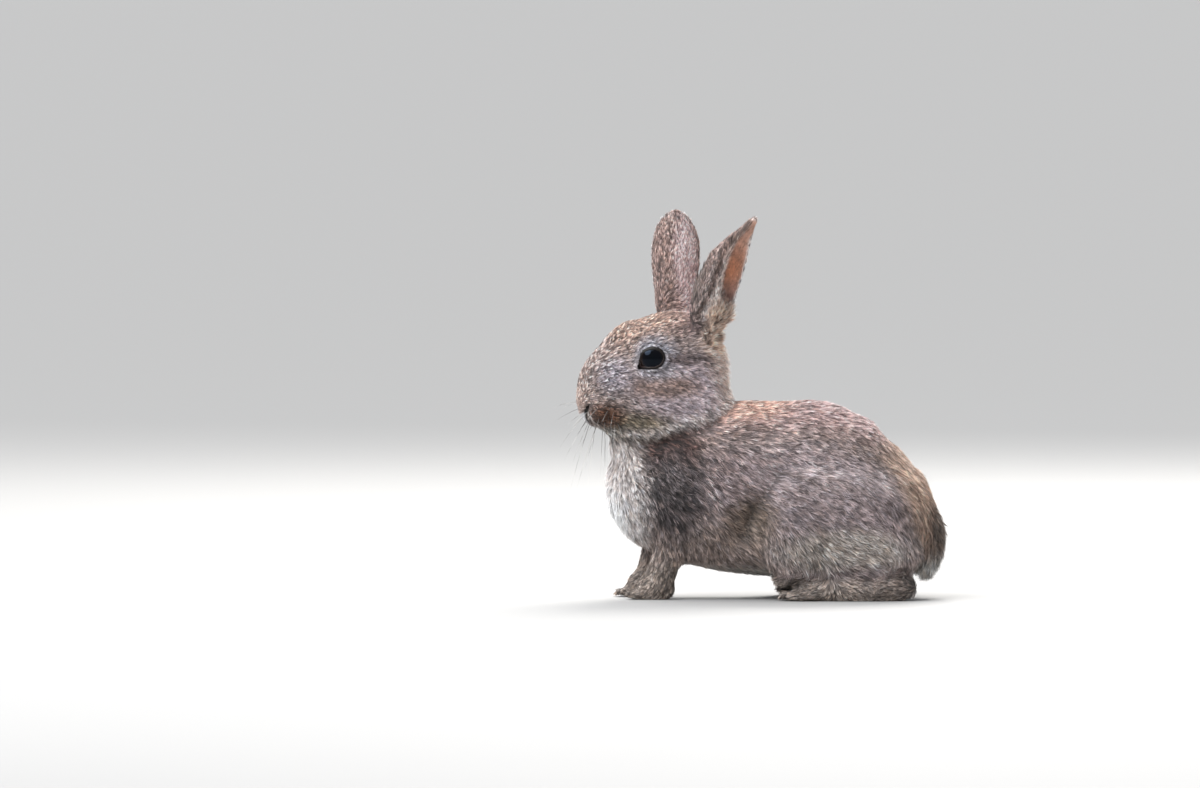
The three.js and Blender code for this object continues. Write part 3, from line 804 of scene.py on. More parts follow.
# the edge of the lids as a radius by angle round the middle of the eye: 0 is forward, 90 is up;
# wide is how far the dark skin of the lid reaches from there
eyeLook = {
    "angles": (0, 18, 41, 62, 90, 115, 136, 155, 174, 195, 215, 238, 278, 300, 312, 325, 340),
    "opening": (6.1, 5.7, 5.2, 4.75, 4.5, 4.8, 5.2, 5.6, 5.8, 5.4, 4.9, 4.5, 4.35, 4.9, 5.5, 7.2, 6.8),
    "wide": (0.9, 1.0, 1.4, 1.7, 1.9, 1.8, 1.5, 1.2, 0.9, 0.9, 1.1, 1.3, 1.3, 1.3, 1.8, 3.3, 1.2),
    "socket": 1.8,  # how far the skin sinks behind the eyeball
    "ballEdge": 7.6,  # beyond this the skin falls away from the ball
    "overBall": 0.35,
}


def roundTheEye(angle, name):
    angles = np.radians(eyeLook["angles"])
    values = np.array(eyeLook[name])
    gaps = (np.asarray(angle)[..., None] - angles + math.pi) % (2 * math.pi) - math.pi
    shares = np.exp(-((gaps / 0.2) ** 2))
    return shares @ values / shares.sum(axis=-1)


def eyeAxes(side):
    look = unit(directionFromHead((0.17, side, 0.04)))
    forward = unit(np.array(headForward) - look * np.dot(np.array(headForward), look))
    return look, forward, unit(np.cross(look, forward)) * -side


eyeSides = {"eye_left": (leftEye, 1), "eye_right": (rightEye, -1)}
ballRadius = eyeRadius / mm
openGap = np.full(len(co), 99.0)  # distance outside the dark skin of the lids, in millimetres


def onBall(gap):
    edge = eyeLook["ballEdge"]
    height = np.sqrt(np.maximum(ballRadius**2 - np.minimum(gap, edge) ** 2, 0))
    return height - np.maximum(gap - edge, 0) * 1.2


for eye, side in eyeSides.values():
    look, forward, up = eyeAxes(side)
    away = co - np.array(eye)
    out, a, b = away @ look / mm, away @ forward / mm, away @ up / mm
    gap = np.hypot(a, b)
    angle = np.arctan2(b, a)
    rim = roundTheEye(angle, "opening") + roundTheEye(angle, "wide")
    near = ((out > 0) & (gap < 14)) | ((out > -10) & (gap < 8.6))  # the hollow of the eye comes up as well
    openGap[near] = (gap - rim)[near]
    raised = np.maximum(out, onBall(gap) + eyeLook["overBall"])
    sunk = easeIn((rim - 0.1 - gap) / 0.9)
    level = raised + (onBall(gap) - eyeLook["socket"] - raised) * sunk
    co[near] += (look * (level - out)[:, None] * mm)[near]
skin.data.vertices.foreach_set("co", co.ravel())
shadeSmooth(skin.data)
skin.data.update()
print("face shaped")

# unwrap of the skin, which the coat's map follows
bpy.context.view_layer.objects.active = skin
skin.select_set(True)
bpy.ops.object.mode_set(mode="EDIT")
bpy.ops.mesh.select_all(action="SELECT")
bpy.ops.uv.smart_project(angle_limit=math.radians(66), island_margin=0.002)
bpy.ops.object.mode_set(mode="OBJECT")
skin.select_set(False)
skin.data.uv_layers[0].name = "OFBake"
print("skin unwrapped")

# what grows where
tris = trianglesOf(skin.data)
edges = edgesOf(skin.data)
loopUv = np.empty(len(skin.data.loops) * 2)
skin.data.uv_layers["OFBake"].data.foreach_get("uv", loopUv)
triLoops = np.empty(len(tris) * 3, np.int32)
skin.data.loop_triangles.foreach_get("loops", triLoops)
cornerUv = loopUv.reshape(-1, 2)[triLoops.reshape(-1, 3)]

trueNormals = normalsOf(co, tris)
normals = unit(spread(trueNormals, edges, 8, 0.5))
colour, hair, earInside = grownBy(co, normals)
toward(colour, lipFront["rim"], 0.8 * behindLip)
toward(colour, lipFront["colour"], onLip)
toward(hair, lipFront["hair"], np.maximum(onLip, behindLip))
shorter = np.maximum(besideGroove["nostril"], 0.8 * besideGroove["lipEdge"])
hair[:, 0] *= 1 - 0.8 * shorter
lie = lieOf(co, normals)
toeFront = easeIn((-trueNormals[:, 0] - 0.35) / 0.3) * easeIn((11 - co[:, 2] / mm) / 3)
toward(lie, (-0.3, 0, -1), toeFront)
hair[:, 0] *= 1 - 0.5 * toeFront
lie = unit(spread(lie, edges, 12, 0.5))

# hair parts round the eyes instead of growing over them
for eye, side in eyeSides.values():
    away = co - np.array(eye)
    away = unit(away - normals * np.sum(away * normals, axis=1)[:, None])
    against = np.maximum(0.15 - np.sum(lie * away, axis=1), 0)
    near = easeIn((4.5 - openGap) / 3.5) * (np.linalg.norm(co - np.array(eye), axis=1) < 25 * mm)
    lie = unit(lie + away * (against * near)[:, None])
spots, sided = sidedHead(co), sidedBody(co)
ears = onEars(co)

# tufts for each square millimetre
crowd = {"body": 6.0, "face": 9.0, "ear": 7.5, "earInside": 3.0, "feet": 6.5}
faceShare = belongs(spots, (6, 0, -10), (36, 34, 34), 0.3)
feetShare = np.maximum(
    belongs(sided, bodyPlaces["forepaw"]["at"], (22, 12, 14), 0.2),
    belongs(sided, bodyPlaces["hindFoot"]["at"], (44, 12, 14), 0.2),
)
density = crowd["body"] + (crowd["face"] - crowd["body"]) * faceShare
density += (crowd["feet"] - density) * feetShare
density += (crowd["ear"] - density) * ears
density += (crowd["earInside"] - density) * earInside
openings = np.maximum(np.maximum(grooveShare["nostril"], grooveShare["nostrilTop"]), grooveShare["lipEdge"])
openings = easeIn(2.2 * openings)
bare = np.maximum(openings, easeIn((-0.9 - openGap) / 0.4))
bare = np.maximum(bare, 0.7 * grooveShare["padTop"])
density *= 1 - easeIn(bare * 1.6)
print("fields ready")

# tufts
tuftMake = {
    "steps": (0.0, 0.5, 1.0),
    "taper": (0.85, 1.0, 0.0),
    "lockArea": 1.3,
    "lockStretch": 2.6,
    "gather": 0.5,
    "reach": 2.2,  # a tuft's tip moves no further than this towards its lock's tip
    "lengths": (0.72, 1.2),  # lengths, lifts and widths are shares of what grows at the place
    "lifts": (0.45, 1.65),
    "widths": (0.7, 1.3),
    "turn": 6,  # degrees that one tuft strays from the next
    "lockTurn": 6,
    "roll": 24,
    "wave": 0.12,
    "bend": 0.1,
    "lockBend": 0.08,
    "rooted": 0.12,  # how deep below the skin a tuft starts
    "darkTips": 0.34,
    "contrast": 2.4,
    "patch": 0.003,
}


def turned(vectors, axes, angles):
    c, s = np.cos(angles)[:, None], np.sin(angles)[:, None]
    along = np.sum(vectors * axes, axis=1)[:, None]
    return vectors * c + np.cross(axes, vectors) * s + axes * along * (1 - c)


def plantRoots(density, seed):
    rng = np.random.default_rng(seed)
    a, b, c = co[tris[:, 0]], co[tris[:, 1]], co[tris[:, 2]]
    area = np.linalg.norm(np.cross(b - a, c - a), axis=1) / 2 / mm**2
    total = np.cumsum(area * density[tris].mean(axis=1))
    count = int(total[-1])
    chosen = np.searchsorted(total, np.arange(count) + rng.random(count))
    chosen = np.minimum(chosen, len(tris) - 1)
    r, t = np.sqrt(rng.random(count)), rng.random(count)
    shares = np.stack([1 - r, r * (1 - t), r * t], axis=1)
    return chosen, shares


def blend(values, chosen, shares):
    corners = values[tris[chosen]]
    if corners.ndim == 2:
        return np.sum(corners * shares, axis=1)
    return np.sum(corners * shares[:, :, None], axis=1)


chosen, shares = plantRoots(density, 11)
rootUv = np.sum(cornerUv[chosen] * shares[:, :, None], axis=1)
root = blend(co, chosen, shares)
rootNormal = unit(blend(normals, chosen, shares))
rootLie = blend(lie, chosen, shares)
rootLie = unit(rootLie - rootNormal * np.sum(rootLie * rootNormal, axis=1)[:, None])
rootHair = blend(hair, chosen, shares)
rootTint = blend(colour, chosen, shares)
rootFace = blend(np.maximum(faceShare, feetShare), chosen, shares)
# hairs differ less from each other where the coat is calm, and more where it is rough
rootCalm = np.maximum(belongs(spots, (-4, 22, -8), (26, 16, 22), 0.4), 0.8 * np.maximum(feetShare, ears))
rootCalm = blend(np.maximum(rootCalm, 0.8 * belongs(sided, (84, 0, 60), (20, 34, 40))), chosen, shares)
rootRough = blend(belongs(sided, (-50, 32, 66), (22, 18, 28)), chosen, shares)
rootEar = blend(ears, chosen, shares)
rootInside = blend(earInside, chosen, shares)
print("roots", len(root))

# locks: neighbouring tufts lean together
rng = np.random.default_rng(23)
small = np.maximum(rootFace, rootEar)
lockChance = 1 / (tuftMake["lockArea"] * crowd["body"]) * (1 + 0.5 * small)
heads = np.nonzero(rng.random(len(root)) < lockChance)[0]
tree = KDTree(len(heads))
for k, n in enumerate(heads):
    tree.insert(root[n] + rootNormal[n] * 2 * mm, k)
tree.balance()
nearby = np.array([[found[1] for found in tree.find_n(p, 7)] for p in (root + rootNormal * 2 * mm)])
apart = root[:, None, :] - root[heads[nearby]]
forth = np.sum(apart * rootLie[:, None, :], axis=2)
apart = np.sum(apart**2, axis=2) - forth**2 * (1 - 1 / tuftMake["lockStretch"] ** 2)
lockOf = nearby[np.arange(len(root)), apart.argmin(axis=1)]
lock = heads[lockOf]
print("locks", len(heads))


def perLock(low, high, share=0.5):
    own = rng.uniform(low, high, len(root))
    common = rng.uniform(low, high, len(heads))[lockOf]
    return common * share + own * (1 - share)


length = rootHair[:, 0] * perLock(*tuftMake["lengths"], 0.45)
lift = np.radians(rootHair[:, 1]) * perLock(*tuftMake["lifts"], 0.5)
width = rootHair[:, 2] * rng.uniform(*tuftMake["widths"], len(root))
turn = rng.normal(0, tuftMake["turn"], len(root))
turn = np.radians(turn + rng.normal(0, tuftMake["lockTurn"], len(heads))[lockOf])
turn += tuftMake["wave"] * ripple(root, 30, 5)
way = turned(rootLie, rootNormal, turn)
roll = np.radians(rng.normal(0, tuftMake["roll"], len(root)))
bend = rng.normal(0, tuftMake["bend"], len(root))
bend = bend + rng.normal(0, tuftMake["lockBend"], len(heads))[lockOf]
sideways = np.cross(rootNormal, way)

tips = root + (way * np.cos(lift)[:, None] + rootNormal * np.sin(lift)[:, None]) * (length * mm)[:, None]
gather = (tips[lock] - tips) * (tuftMake["gather"] * (1 - 0.4 * small))[:, None]
gather -= rootNormal * np.sum(gather * rootNormal, axis=1)[:, None] * 0.5
pull = np.minimum(1, tuftMake["reach"] * mm / np.maximum(np.linalg.norm(gather, axis=1), 1e-9))
gather *= pull[:, None]

spine = []
for t in tuftMake["steps"]:
    rise = np.sin(lift) * (1.25 * t - 0.35 * t * t)
    spot = root + way * (length * t * np.cos(lift) * mm)[:, None]
    spot += rootNormal * ((length * rise) * mm)[:, None]
    spot += sideways * (length * bend * t * t * mm)[:, None] + gather * (t * t)
    spine.append(spot - rootNormal * (tuftMake["rooted"] * mm))
broad = turned(sideways, way, roll)
tuftPoints = []
for spot, taper in zip(spine, tuftMake["taper"]):
    half = broad * (width * taper * 0.5 * mm)[:, None]
    tuftPoints += [spot - half, spot + half] if taper else [spot]
tuftPoints = np.stack(tuftPoints, axis=1)
tuftPoints[:, :, 2] = np.maximum(tuftPoints[:, :, 2], 0.1 * mm)
print("tufts shaped", len(tuftPoints))

along = np.array([0, 0, 0.5, 0.5, 1.0])
across = np.array([0, 1, 0, 1, 0.5])
tone = perLock(0, 1, 0.55 + 0.25 * small)
paleHair = easeIn((rootTint.mean(axis=1) - 0.5) / 0.35)
tip = (perLock(0, 1, 0.6) < (0.5 * tuftMake["darkTips"] + 0.2) * (1 - paleHair)).astype(float)
warmth = rng.normal(0, 0.03, len(heads))[lockOf]
contrast = tuftMake["contrast"] * (1 + 0.3 * small - 0.45 * paleHair)
contrast = contrast * (1 - 0.4 * rootCalm) * (1 + 0.7 * rootRough)
share = np.exp(contrast * (tone - 0.5 - 0.08 * rootRough))
tint = rootTint * (share / share.mean())[:, None]
tint *= np.stack([1 + warmth, np.ones(len(root)), 1 - warmth], axis=1)
tint *= (1 + 0.06 * ripple(root, 16, 7) + 0.05 * ripple(root, 7, 8))[:, None]

# a tuft is a face of four corners and a pointed one of three
corners = np.array([0, 1, 3, 2, 2, 3, 4])
faceStarts = np.array([0, 4])
faceSizes = np.array([4, 3])


def tuftPiece(name, which):
    count = len(which)
    mesh = bpy.data.meshes.new(name)
    mesh.vertices.add(count * 5)
    mesh.vertices.foreach_set("co", tuftPoints[which].ravel())
    loops = (corners[None, :] + np.arange(count)[:, None] * 5).ravel()
    mesh.loops.add(len(loops))
    mesh.loops.foreach_set("vertex_index", loops)
    mesh.polygons.add(count * 2)
    mesh.polygons.foreach_set("loop_start", (faceStarts[None, :] + np.arange(count)[:, None] * 7).ravel())
    mesh.polygons.foreach_set("loop_total", np.tile(faceSizes, count))
    shadeSmooth(mesh)
    mesh.update()
    patch = np.stack([across - 0.5, along - 0.5], axis=1) * tuftMake["patch"]
    uv = np.clip(rootUv[which][:, None, :] + patch[None], 0.0005, 0.9995).reshape(-1, 2)[loops]
    mesh.uv_layers.new(name="OFBake").data.foreach_set("uv", uv.ravel())
    storeTint(mesh, np.repeat(tint[which], 5, axis=0))
    storeValue(mesh, "along", np.tile(along, count))
    storeValue(mesh, "darkTip", np.repeat(tip[which] * (1 - rootInside[which]), 5))
    piece = linkMesh(name, mesh)
    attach(piece, "root")
    return piece


sided = toBody(root)
atHead = toHead(root)
isHead = (belongs(atHead, (-2, 0, -8), (42, 33, 36), 0.02) > 0.5) | (rootEar > 0.3)
regions = {
    "coat_ears": rootEar > 0.3,
    "coat_muzzle": isHead & (atHead[:, 0] > 10),
    "coat_face_left": isHead & (atHead[:, 1] > 0),
    "coat_face_right": isHead,
    "coat_chest": (sided[:, 0] < -38) & (sided[:, 2] > 17),
    "coat_feet": (sided[:, 2] < 14) & (np.abs(sided[:, 1]) > 8),
    "coat_back": (np.abs(sided[:, 1]) < 20) & (sided[:, 2] > 40) & (sided[:, 0] < 70),
    "coat_belly": sided[:, 2] < 17,
    "coat_side_left": (sided[:, 1] < 0) & (sided[:, 0] < 22),
    "coat_side_right": (sided[:, 1] > 0) & (sided[:, 0] < 22),
    "coat_haunch_left": sided[:, 1] < 0,
    "coat_haunch_right": sided[:, 1] >= 0,
}
left = np.ones(len(root), bool)
coatPieces = {}
for name, here in regions.items():
    which = np.nonzero(here & left)[0]
    left[which] = False
    coatPieces[name] = tuftPiece(name, which)
    print(name, len(which) * 3, "triangles")

# materials


def group(name, inputs, outputs):
    tree = bpy.data.node_groups.new(name, "ShaderNodeTree")
    for title, kind in inputs:
        tree.interface.new_socket(name=title, in_out="INPUT", socket_type=kind)
    for title, kind in outputs:
        tree.interface.new_socket(name=title, in_out="OUTPUT", socket_type=kind)
    return tree, tree.nodes.new("NodeGroupInput"), tree.nodes.new("NodeGroupOutput")


def material(name, roughness, colour=(0.5, 0.5, 0.5)):
    made = bpy.data.materials.new(name)
    made.use_nodes = True
    shader = made.node_tree.nodes["Principled BSDF"]
    shader.inputs["Roughness"].default_value = roughness
    shader.inputs["Base Color"].default_value = (*colour, 1)
    return made, made.node_tree, shader


def attribute(tree, name):
    node = tree.nodes.new("ShaderNodeAttribute")
    node.attribute_name = name
    return node


# stops are (place, grey) or (place, colour)
def ramp(tree, factor, stops):
    node = tree.nodes.new("ShaderNodeValToRGB")
    while len(node.color_ramp.elements) < len(stops):
        node.color_ramp.elements.new(0.5)
    for element, (at, value) in zip(node.color_ramp.elements, stops):
        element.position = at
        element.color = (*np.broadcast_to(value, 3), 1)
    tree.links.new(factor, node.inputs["Fac"])
    return node.outputs["Color"]


def mixColour(tree, kind, factor, a, b):
    node = tree.nodes.new("ShaderNodeMix")
    node.data_type = "RGBA"
    node.blend_type = kind
    for socket, value in ((node.inputs[0], factor), (node.inputs[6], a), (node.inputs[7], b)):
        if isinstance(value, bpy.types.NodeSocket):
            tree.links.new(value, socket)
        else:
            socket.default_value = value
    return node.outputs[2]


# how one hair changes from its root to its tip
def makeHairShade():
    tree, source, sink = group(
        "hairShade",
        [("Tint", "NodeSocketColor"), ("Along", "NodeSocketFloat"), ("Dark Tip", "NodeSocketFloat")],
        [("Color", "NodeSocketColor")],
    )
    pale = ramp(tree, source.outputs["Along"], [(0.0, 0.12), (0.35, 0.42), (0.65, 1.0), (1.0, 1.7)])
    dark = ramp(tree, source.outputs["Along"], [(0.0, 0.1), (0.4, 0.38), (0.7, 0.5), (1.0, 0.25)])
    shade = mixColour(tree, "MIX", source.outputs["Dark Tip"], pale, dark)
    product = mixColour(tree, "MULTIPLY", 1.0, source.outputs["Tint"], shade)
    product.node.clamp_result = True
    tree.links.new(product, sink.inputs["Color"])
    return tree


hairShade = makeHairShade()


def makeFur(name, roughness=0.62, sheen=0.25):
    made, tree, shader = material(name, roughness)
    shade = tree.nodes.new("ShaderNodeGroup")
    shade.node_tree = hairShade
    tree.links.new(attribute(tree, "tint").outputs["Color"], shade.inputs["Tint"])
    tree.links.new(attribute(tree, "along").outputs["Fac"], shade.inputs["Along"])
    tree.links.new(attribute(tree, "darkTip").outputs["Fac"], shade.inputs["Dark Tip"])
    tree.links.new(shade.outputs["Color"], shader.inputs["Base Color"])
    shader.inputs["Specular IOR Level"].default_value = 0.3
    shader.inputs["Sheen Weight"].default_value = sheen
    return made


furMaterial = makeFur("fur")
for name, piece in coatPieces.items():
    piece.data.materials.append(furMaterial)

# the skin is darker than the coat on it, veined inside the ears and almost black in the lids; in the nostrils
# and along the lip's edge it is darkened almost to black as painted shade
skinTint = colour * 0.5
veins = 1 + 0.16 * ripple(co * (1, 1, 0.22), 5, 12) + 0.08 * ripple(co, 3, 13)
toward(skinTint, colour * 0.95 * veins[:, None], earInside)
# painted shade: the nostril and lip-edge grooves are darkened almost to black
skinTint *= (1 - 0.97 * openings)[:, None]
toward(skinTint, (0.02, 0.014, 0.012), easeIn((-0.3 - openGap) / 0.5))
storeTint(skin.data, skinTint)


def makeSkinGrain():
    tree, source, sink = group("skinGrain", [("Size", "NodeSocketFloat")], [("Height", "NodeSocketFloat")])
    place = tree.nodes.new("ShaderNodeTexCoord")
    noise = tree.nodes.new("ShaderNodeTexNoise")
    noise.inputs["Detail"].default_value = 3
    tree.links.new(place.outputs["Object"], noise.inputs["Vector"])
    tree.links.new(source.outputs["Size"], noise.inputs["Scale"])
    tree.links.new(noise.outputs["Fac"], sink.inputs["Height"])
    return tree


skinGrain = makeSkinGrain()


def makeSkin():
    made, tree, shader = material("skin", 0.55)
    tree.links.new(attribute(tree, "tint").outputs["Color"], shader.inputs["Base Color"])
    grain = tree.nodes.new("ShaderNodeGroup")
    grain.node_tree = skinGrain
    grain.inputs["Size"].default_value = 700
    bump = tree.nodes.new("ShaderNodeBump")
    bump.inputs["Strength"].default_value = 0.35
    bump.inputs["Distance"].default_value = 0.0006
    tree.links.new(grain.outputs["Height"], bump.inputs["Height"])
    tree.links.new(bump.outputs["Normal"], shader.inputs["Normal"])
    return made


skin.data.materials.append(makeSkin())
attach(skin, "root")
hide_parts(*fleshNodes)

# eyes
ballLook = {"segments": 64, "rings": 32}


def makeEye(name, eye, side):
    look = eyeAxes(side)[0]
    mesh = bmesh.new()
    bmesh.ops.create_uvsphere(
        mesh, u_segments=ballLook["segments"], v_segments=ballLook["rings"], radius=eyeRadius
    )
    turn = Vector((0, 0, 1)).rotation_difference(Vector(look)).to_matrix().to_4x4()
    bmesh.ops.transform(mesh, matrix=Matrix.Translation(eye) @ turn, verts=mesh.verts)
    piece = pieceFrom(mesh, name)
    shadeSmooth(piece.data)
    away = pointsOf(piece.data) - np.array(eye)
    angle = np.degrees(np.arccos(np.clip(away @ look / np.linalg.norm(away, axis=1), -1, 1)))
    storeValue(piece.data, "fromPupil", angle / 90)
    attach(piece, "root")
    return piece


def makeEyeMaterial():
    made, tree, shader = material("eye", 0.03)
    stops = [(0.0, 0.002), (0.4, (0.003, 0.002, 0.002)), (0.5, (0.013, 0.007, 0.004))]
    stops += [(0.62, (0.01, 0.006, 0.004)), (0.7, 0.003)]
    shade = ramp(tree, attribute(tree, "fromPupil").outputs["Fac"], stops)
    tree.links.new(shade, shader.inputs["Base Color"])
    shader.inputs["IOR"].default_value = 1.27
    shader.inputs["Specular Tint"].default_value = (0.5, 0.68, 1.0, 1)
    return made


eyeMaterial = makeEyeMaterial()
lidLook = {
    "rows": (-0.3, 0.0, 0.22, 0.5, 0.8, 1.0),  # shares of the lid's width
    "rise": (-0.5, 0.1, 0.42, 0.55, 0.5, 0.3),
    "under": {"reach": 0.9, "rise": -0.45, "sunk": 0.6},  # one more row, tucked into the fur
    "onSkin": 5,  # from this row on the lid follows the skin as well as the ball
    "around": 80,
}


# a lid ring lies on the eyeball round the opening, its outer edge under the fur
def makeLids(name, eye, side):
    look, forward, up = eyeAxes(side)
    mesh = bmesh.new()
    bmesh.ops.create_circle(mesh, segments=lidLook["around"], radius=1.0)
    rings = [list(mesh.verts)]
    ring = list(mesh.edges)
    for _ in range(len(lidLook["rows"])):
        made = bmesh.ops.extrude_edge_only(mesh, edges=ring)["geom"]
        ring = [e for e in made if isinstance(e, bmesh.types.BMEdge)]
        rings.append([v for v in made if isinstance(v, bmesh.types.BMVert)])
    rowOf = {}
    for row, verts in enumerate(rings):
        for v in verts:
            angle = math.atan2(v.co.y, v.co.x)
            opening, wide = (float(roundTheEye(np.array(angle), n)) for n in ("opening", "wide"))
            last = row == len(lidLook["rows"])
            if last:
                gap, rise = opening + wide + lidLook["under"]["reach"], lidLook["under"]["rise"]
            else:
                gap, rise = opening + wide * lidLook["rows"][row], lidLook["rise"][row]
            ground = float(onBall(gap))
            outward = (forward * math.cos(angle) + up * math.sin(angle)) * gap
            if row >= lidLook["onSkin"]:
                hit = skinTree.ray_cast(eye + Vector((look * 20 + outward) * mm), Vector(-look))[0]
                if hit is not None:
                    sunk = lidLook["under"]["sunk"] if last else 0
                    ground = max(ground - sunk, (hit - eye).dot(Vector(look)) / mm)
            rowOf[v] = (row, angle)
            v.co = Vector((look * (ground + rise) + outward) * mm) + eye
    bmesh.ops.recalc_face_normals(mesh, faces=mesh.faces)
    if sum(f.normal.dot(Vector(look)) for f in mesh.faces) < 0:
        bmesh.ops.reverse_faces(mesh, faces=mesh.faces)
    row = np.array([rowOf[v][0] for v in mesh.verts], float)
    angles = np.array([rowOf[v][1] for v in mesh.verts])
    piece = pieceFrom(mesh, name)
    pale = ((row == 1) + 0.5 * (row == 2)) * easeIn((-np.sin(angles) + 0.25) * 2.0)
    storeValue(piece.data, "pale", pale)
    shadeSmooth(piece.data)
    smooth = piece.modifiers.new("round", "SUBSURF")
    smooth.levels = smooth.render_levels = 1
    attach(piece, "root")
    return piece


def makeLidMaterial():
    made, tree, shader = material("lid", 0.45)
    shader.inputs["Specular IOR Level"].default_value = 0.25
    pale = attribute(tree, "pale").outputs["Fac"]
    colour = mixColour(tree, "MIX", pale, (0.012, 0.009, 0.008, 1), (0.05, 0.034, 0.032, 1))
    tree.links.new(colour, shader.inputs["Base Color"])
    return made


lidMaterial = makeLidMaterial()
skinTree = BVHTree.FromPolygons([Vector(p) for p in co], tris.tolist())
for name, (eye, side) in eyeSides.items():
    ball = makeEye("eyeball_" + name[4:], eye, side)
    ball.data.materials.append(eyeMaterial)
    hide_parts(name)
    makeLids("lids_" + name[4:], eye, side).data.materials.append(lidMaterial)
print("eyes made")

# whiskers
# each row of a side: where its foremost whisker grows and how it points, in head places, and its lengths
whiskerRows = [
    {"at": (30, 9.4, -23.5), "way": (0.85, 0.75, -0.05), "length": (13, 21)},
    {"at": (29.5, 9.6, -25.5), "way": (0.8, 0.7, -0.4), "length": (16, 24)},
    {"at": (29, 9.2, -28), "way": (0.62, 0.62, -0.85), "length": (24, 33)},
    {"at": (27.5, 8.4, -31), "way": (0.36, 0.45, -1.0), "length": (28, 42)},
]
whiskerLook = {
    "columns": 4,
    "back": (-3.4, 1.0, -0.5),  # from one column to the next
    "turnBack": 0.2,
    "sag": 0.16,
    "radius": 0.14,
    "bends": 9,
}


def growHair(mesh, points, radius):
    ring = bmesh.ops.create_circle(mesh, segments=4, radius=radius)["verts"]
    way = (points[1] - points[0]).normalized()
    turn = Vector((0, 0, 1)).rotation_difference(way).to_matrix().to_4x4()
    bmesh.ops.transform(mesh, matrix=Matrix.Translation(points[0]) @ turn, verts=ring)
    edges = list({e for v in ring for e in v.link_edges})
    for k in range(1, len(points)):
        made = bmesh.ops.extrude_edge_only(mesh, edges=edges)["geom"]
        ring = [v for v in made if isinstance(v, bmesh.types.BMVert)]
        edges = [e for e in made if isinstance(e, bmesh.types.BMEdge)]
        bmesh.ops.translate(mesh, vec=points[k] - points[k - 1], verts=ring)
        thinner = (1.02 - k / (len(points) - 1)) / (1.02 - (k - 1) / (len(points) - 1))
        for v in ring:
            v.co = points[k] + (v.co - points[k]) * thinner
    bmesh.ops.contextual_create(mesh, geom=edges)


def makeWhiskers(name, side, seed):
    rng = np.random.default_rng(seed)
    mesh = bmesh.new()
    for row in whiskerRows:
        for column in range(whiskerLook["columns"]):
            spot = np.array(row["at"]) + np.array(whiskerLook["back"]) * column + rng.normal(0, 0.4, 3)
            way = unit(np.array(row["way"]) - np.array((whiskerLook["turnBack"] * column, 0, 0)))
            way = unit(way + rng.normal(0, 0.09, 3))
            length = rng.uniform(*row["length"])
            spot[1] *= side
            way[1] *= side
            start = Vector(fromHead(spot))
            ahead = Vector(directionFromHead(way))
            hit = skinTree.find_nearest(start)[0]
            points = []
            for k in range(whiskerLook["bends"] + 1):
                t = k / whiskerLook["bends"]
                sag = Vector((0, 0, -whiskerLook["sag"] * length * t * t * mm))
                points.append(hit + ahead * (length * t - 0.5) * mm + sag)
            growHair(mesh, points, whiskerLook["radius"] * mm)
    bmesh.ops.recalc_face_normals(mesh, faces=mesh.faces)
    piece = pieceFrom(mesh, name)
    hairs = pointsOf(piece.data)
    clear = np.linalg.norm((toHead(hairs) - muzzle["middle"]) / muzzle["radii"], axis=1) - 1.1
    pale = easeIn(0.5 + 2.2 * ripple(hairs, 9, seed)) * (0.25 + 0.75 * easeIn(clear / 0.4))
    storeValue(piece.data, "pale", pale)
    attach(piece, "root")
    return piece


def makeWhiskerMaterial():
    made, tree, shader = material("whisker", 0.35)
    pale = attribute(tree, "pale").outputs["Fac"]
    colour = mixColour(tree, "MIX", pale, (0.05, 0.04, 0.035, 1), (0.75, 0.72, 0.68, 1))
    tree.links.new(colour, shader.inputs["Base Color"])
    return made


whiskerMaterial = makeWhiskerMaterial()
makeWhiskers("whiskers_left", 1, 3).data.materials.append(whiskerMaterial)
makeWhiskers("whiskers_right", -1, 4).data.materials.append(whiskerMaterial)
print("whiskers made")

# claws


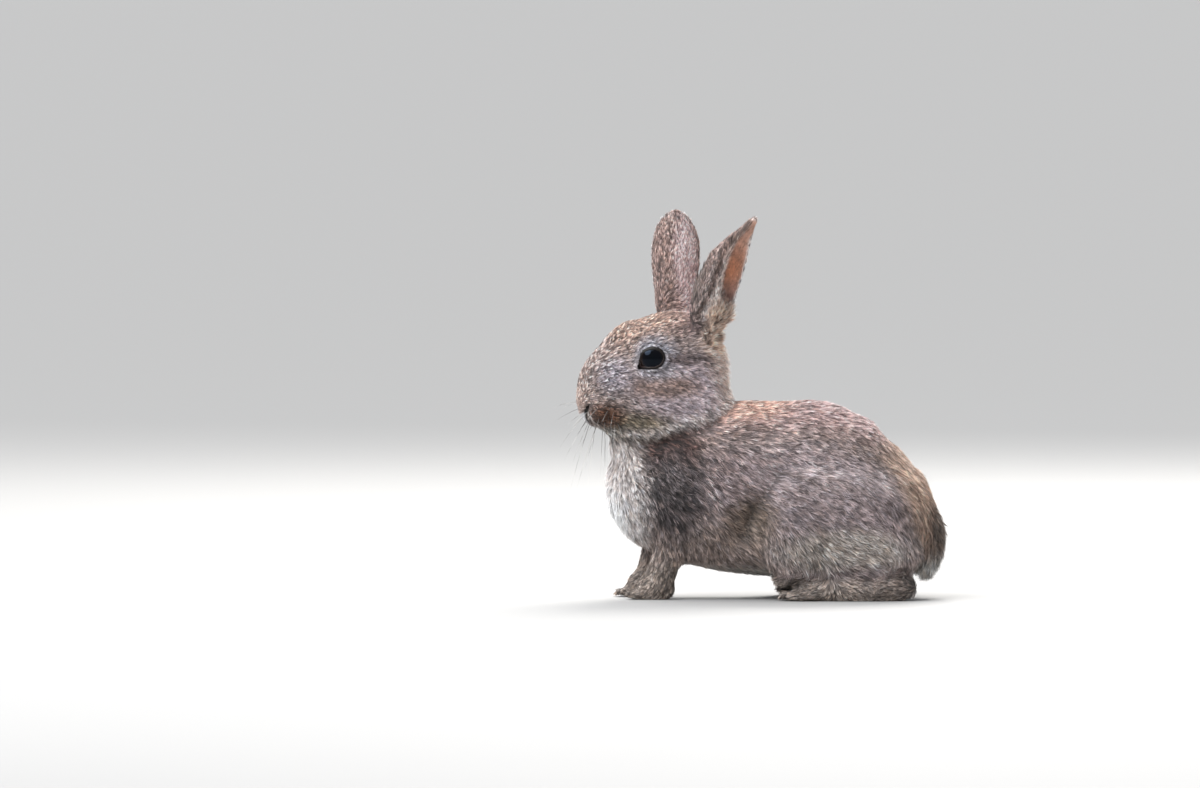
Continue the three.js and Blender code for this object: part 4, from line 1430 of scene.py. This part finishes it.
def makeClaws(name, places):
    mesh = bmesh.new()
    long, radius = clawLook["length"], clawLook["radius"]
    droop = math.radians(clawLook["droop"])
    for toe in places:
        before = set(mesh.verts)
        bmesh.ops.create_cone(
            mesh, cap_ends=True, segments=10, radius1=radius, radius2=clawLook["tip"], depth=long
        )
        claw = [v for v in mesh.verts if v not in before]
        sides = [e for e in mesh.edges if e.verts[0] in claw and abs(e.verts[0].co.z - e.verts[1].co.z) > 1]
        bmesh.ops.subdivide_edges(mesh, edges=sides, cuts=clawLook["rings"])
        claw = [v for v in mesh.verts if v not in before]
        for v in claw:
            t = v.co.z / long + 0.5
            full = math.sqrt(max(1 - t, 0.0)) / max(1 - t * 0.9, 0.1)
            u, w = v.co.x * full * clawLook["narrow"], v.co.y * full
            ahead, down = long * t, long * clawLook["curl"] * t * t
            x = -ahead * math.cos(droop) - down * math.sin(droop) - w * math.sin(droop)
            z = w * math.cos(droop) - ahead * math.sin(droop) - down
            v.co = (Vector((x, u, z)) + Vector(toe) + Vector(clawLook["rootAt"])) * mm
            v.co.z = max(v.co.z, 0.1 * mm)
    bmesh.ops.recalc_face_normals(mesh, faces=mesh.faces)
    piece = pieceFrom(mesh, name)
    shadeSmooth(piece.data)
    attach(piece, "root")
    return piece


clawMaterial, _, _ = material("claw", 0.5, (0.12, 0.09, 0.07))
for name, places in toes.items():
    makeClaws("claws_" + name, places).data.materials.append(clawMaterial)
print("claws made")

# floor and light
floorLook = {"size": 160.0, "colour": (0.36, 0.355, 0.348)}


def makeFloor():
    mesh = bmesh.new()
    bmesh.ops.create_grid(mesh, x_segments=4, y_segments=4, size=floorLook["size"] / 2)
    floor = pieceFrom(mesh, "floor")
    made, _, _ = material("floor", 0.7, floorLook["colour"])
    floor.data.materials.append(made)


makeFloor()
lamps = {
    "key": {"at": (-1.0, -0.9, 1.5), "size": 1.4, "power": 28, "colour": (0.95, 0.97, 1.0)},
    "back": {"at": (0.3, 1.2, 1.2), "size": 1.0, "power": 32, "colour": (1.0, 0.98, 0.95)},
}
lampTarget = (-0.03, 0, 0.09)
sky = {"power": 3.6, "spread": 80, "from": (-0.35, 0.15, 1), "world": (0.9, 0.94, 1.0), "worldPower": 0.45}


def aim(light, place):
    light.rotation_euler = (Vector(place) - light.location).to_track_quat("-Z", "Y").to_euler()


for name, lamp in lamps.items():
    light = bpy.data.objects.new(name, bpy.data.lights.new(name, "AREA"))
    bpy.context.scene.collection.objects.link(light)
    light.data.shape = "DISK"
    light.data.size = lamp["size"]
    light.data.energy = lamp["power"]
    light.data.color = lamp["colour"]
    light.location = lamp["at"]
    aim(light, lampTarget)
overhead = bpy.data.objects.new("overhead", bpy.data.lights.new("overhead", "SUN"))
bpy.context.scene.collection.objects.link(overhead)
overhead.data.energy = sky["power"]
overhead.data.angle = math.radians(sky["spread"])
overhead.location = sky["from"]
aim(overhead, (0, 0, 0))
world = bpy.data.worlds.new("world")
bpy.context.scene.world = world
world.use_nodes = True
world.node_tree.nodes["Background"].inputs["Color"].default_value = (*sky["world"], 1)
world.node_tree.nodes["Background"].inputs["Strength"].default_value = sky["worldPower"]
print("floor and light set")
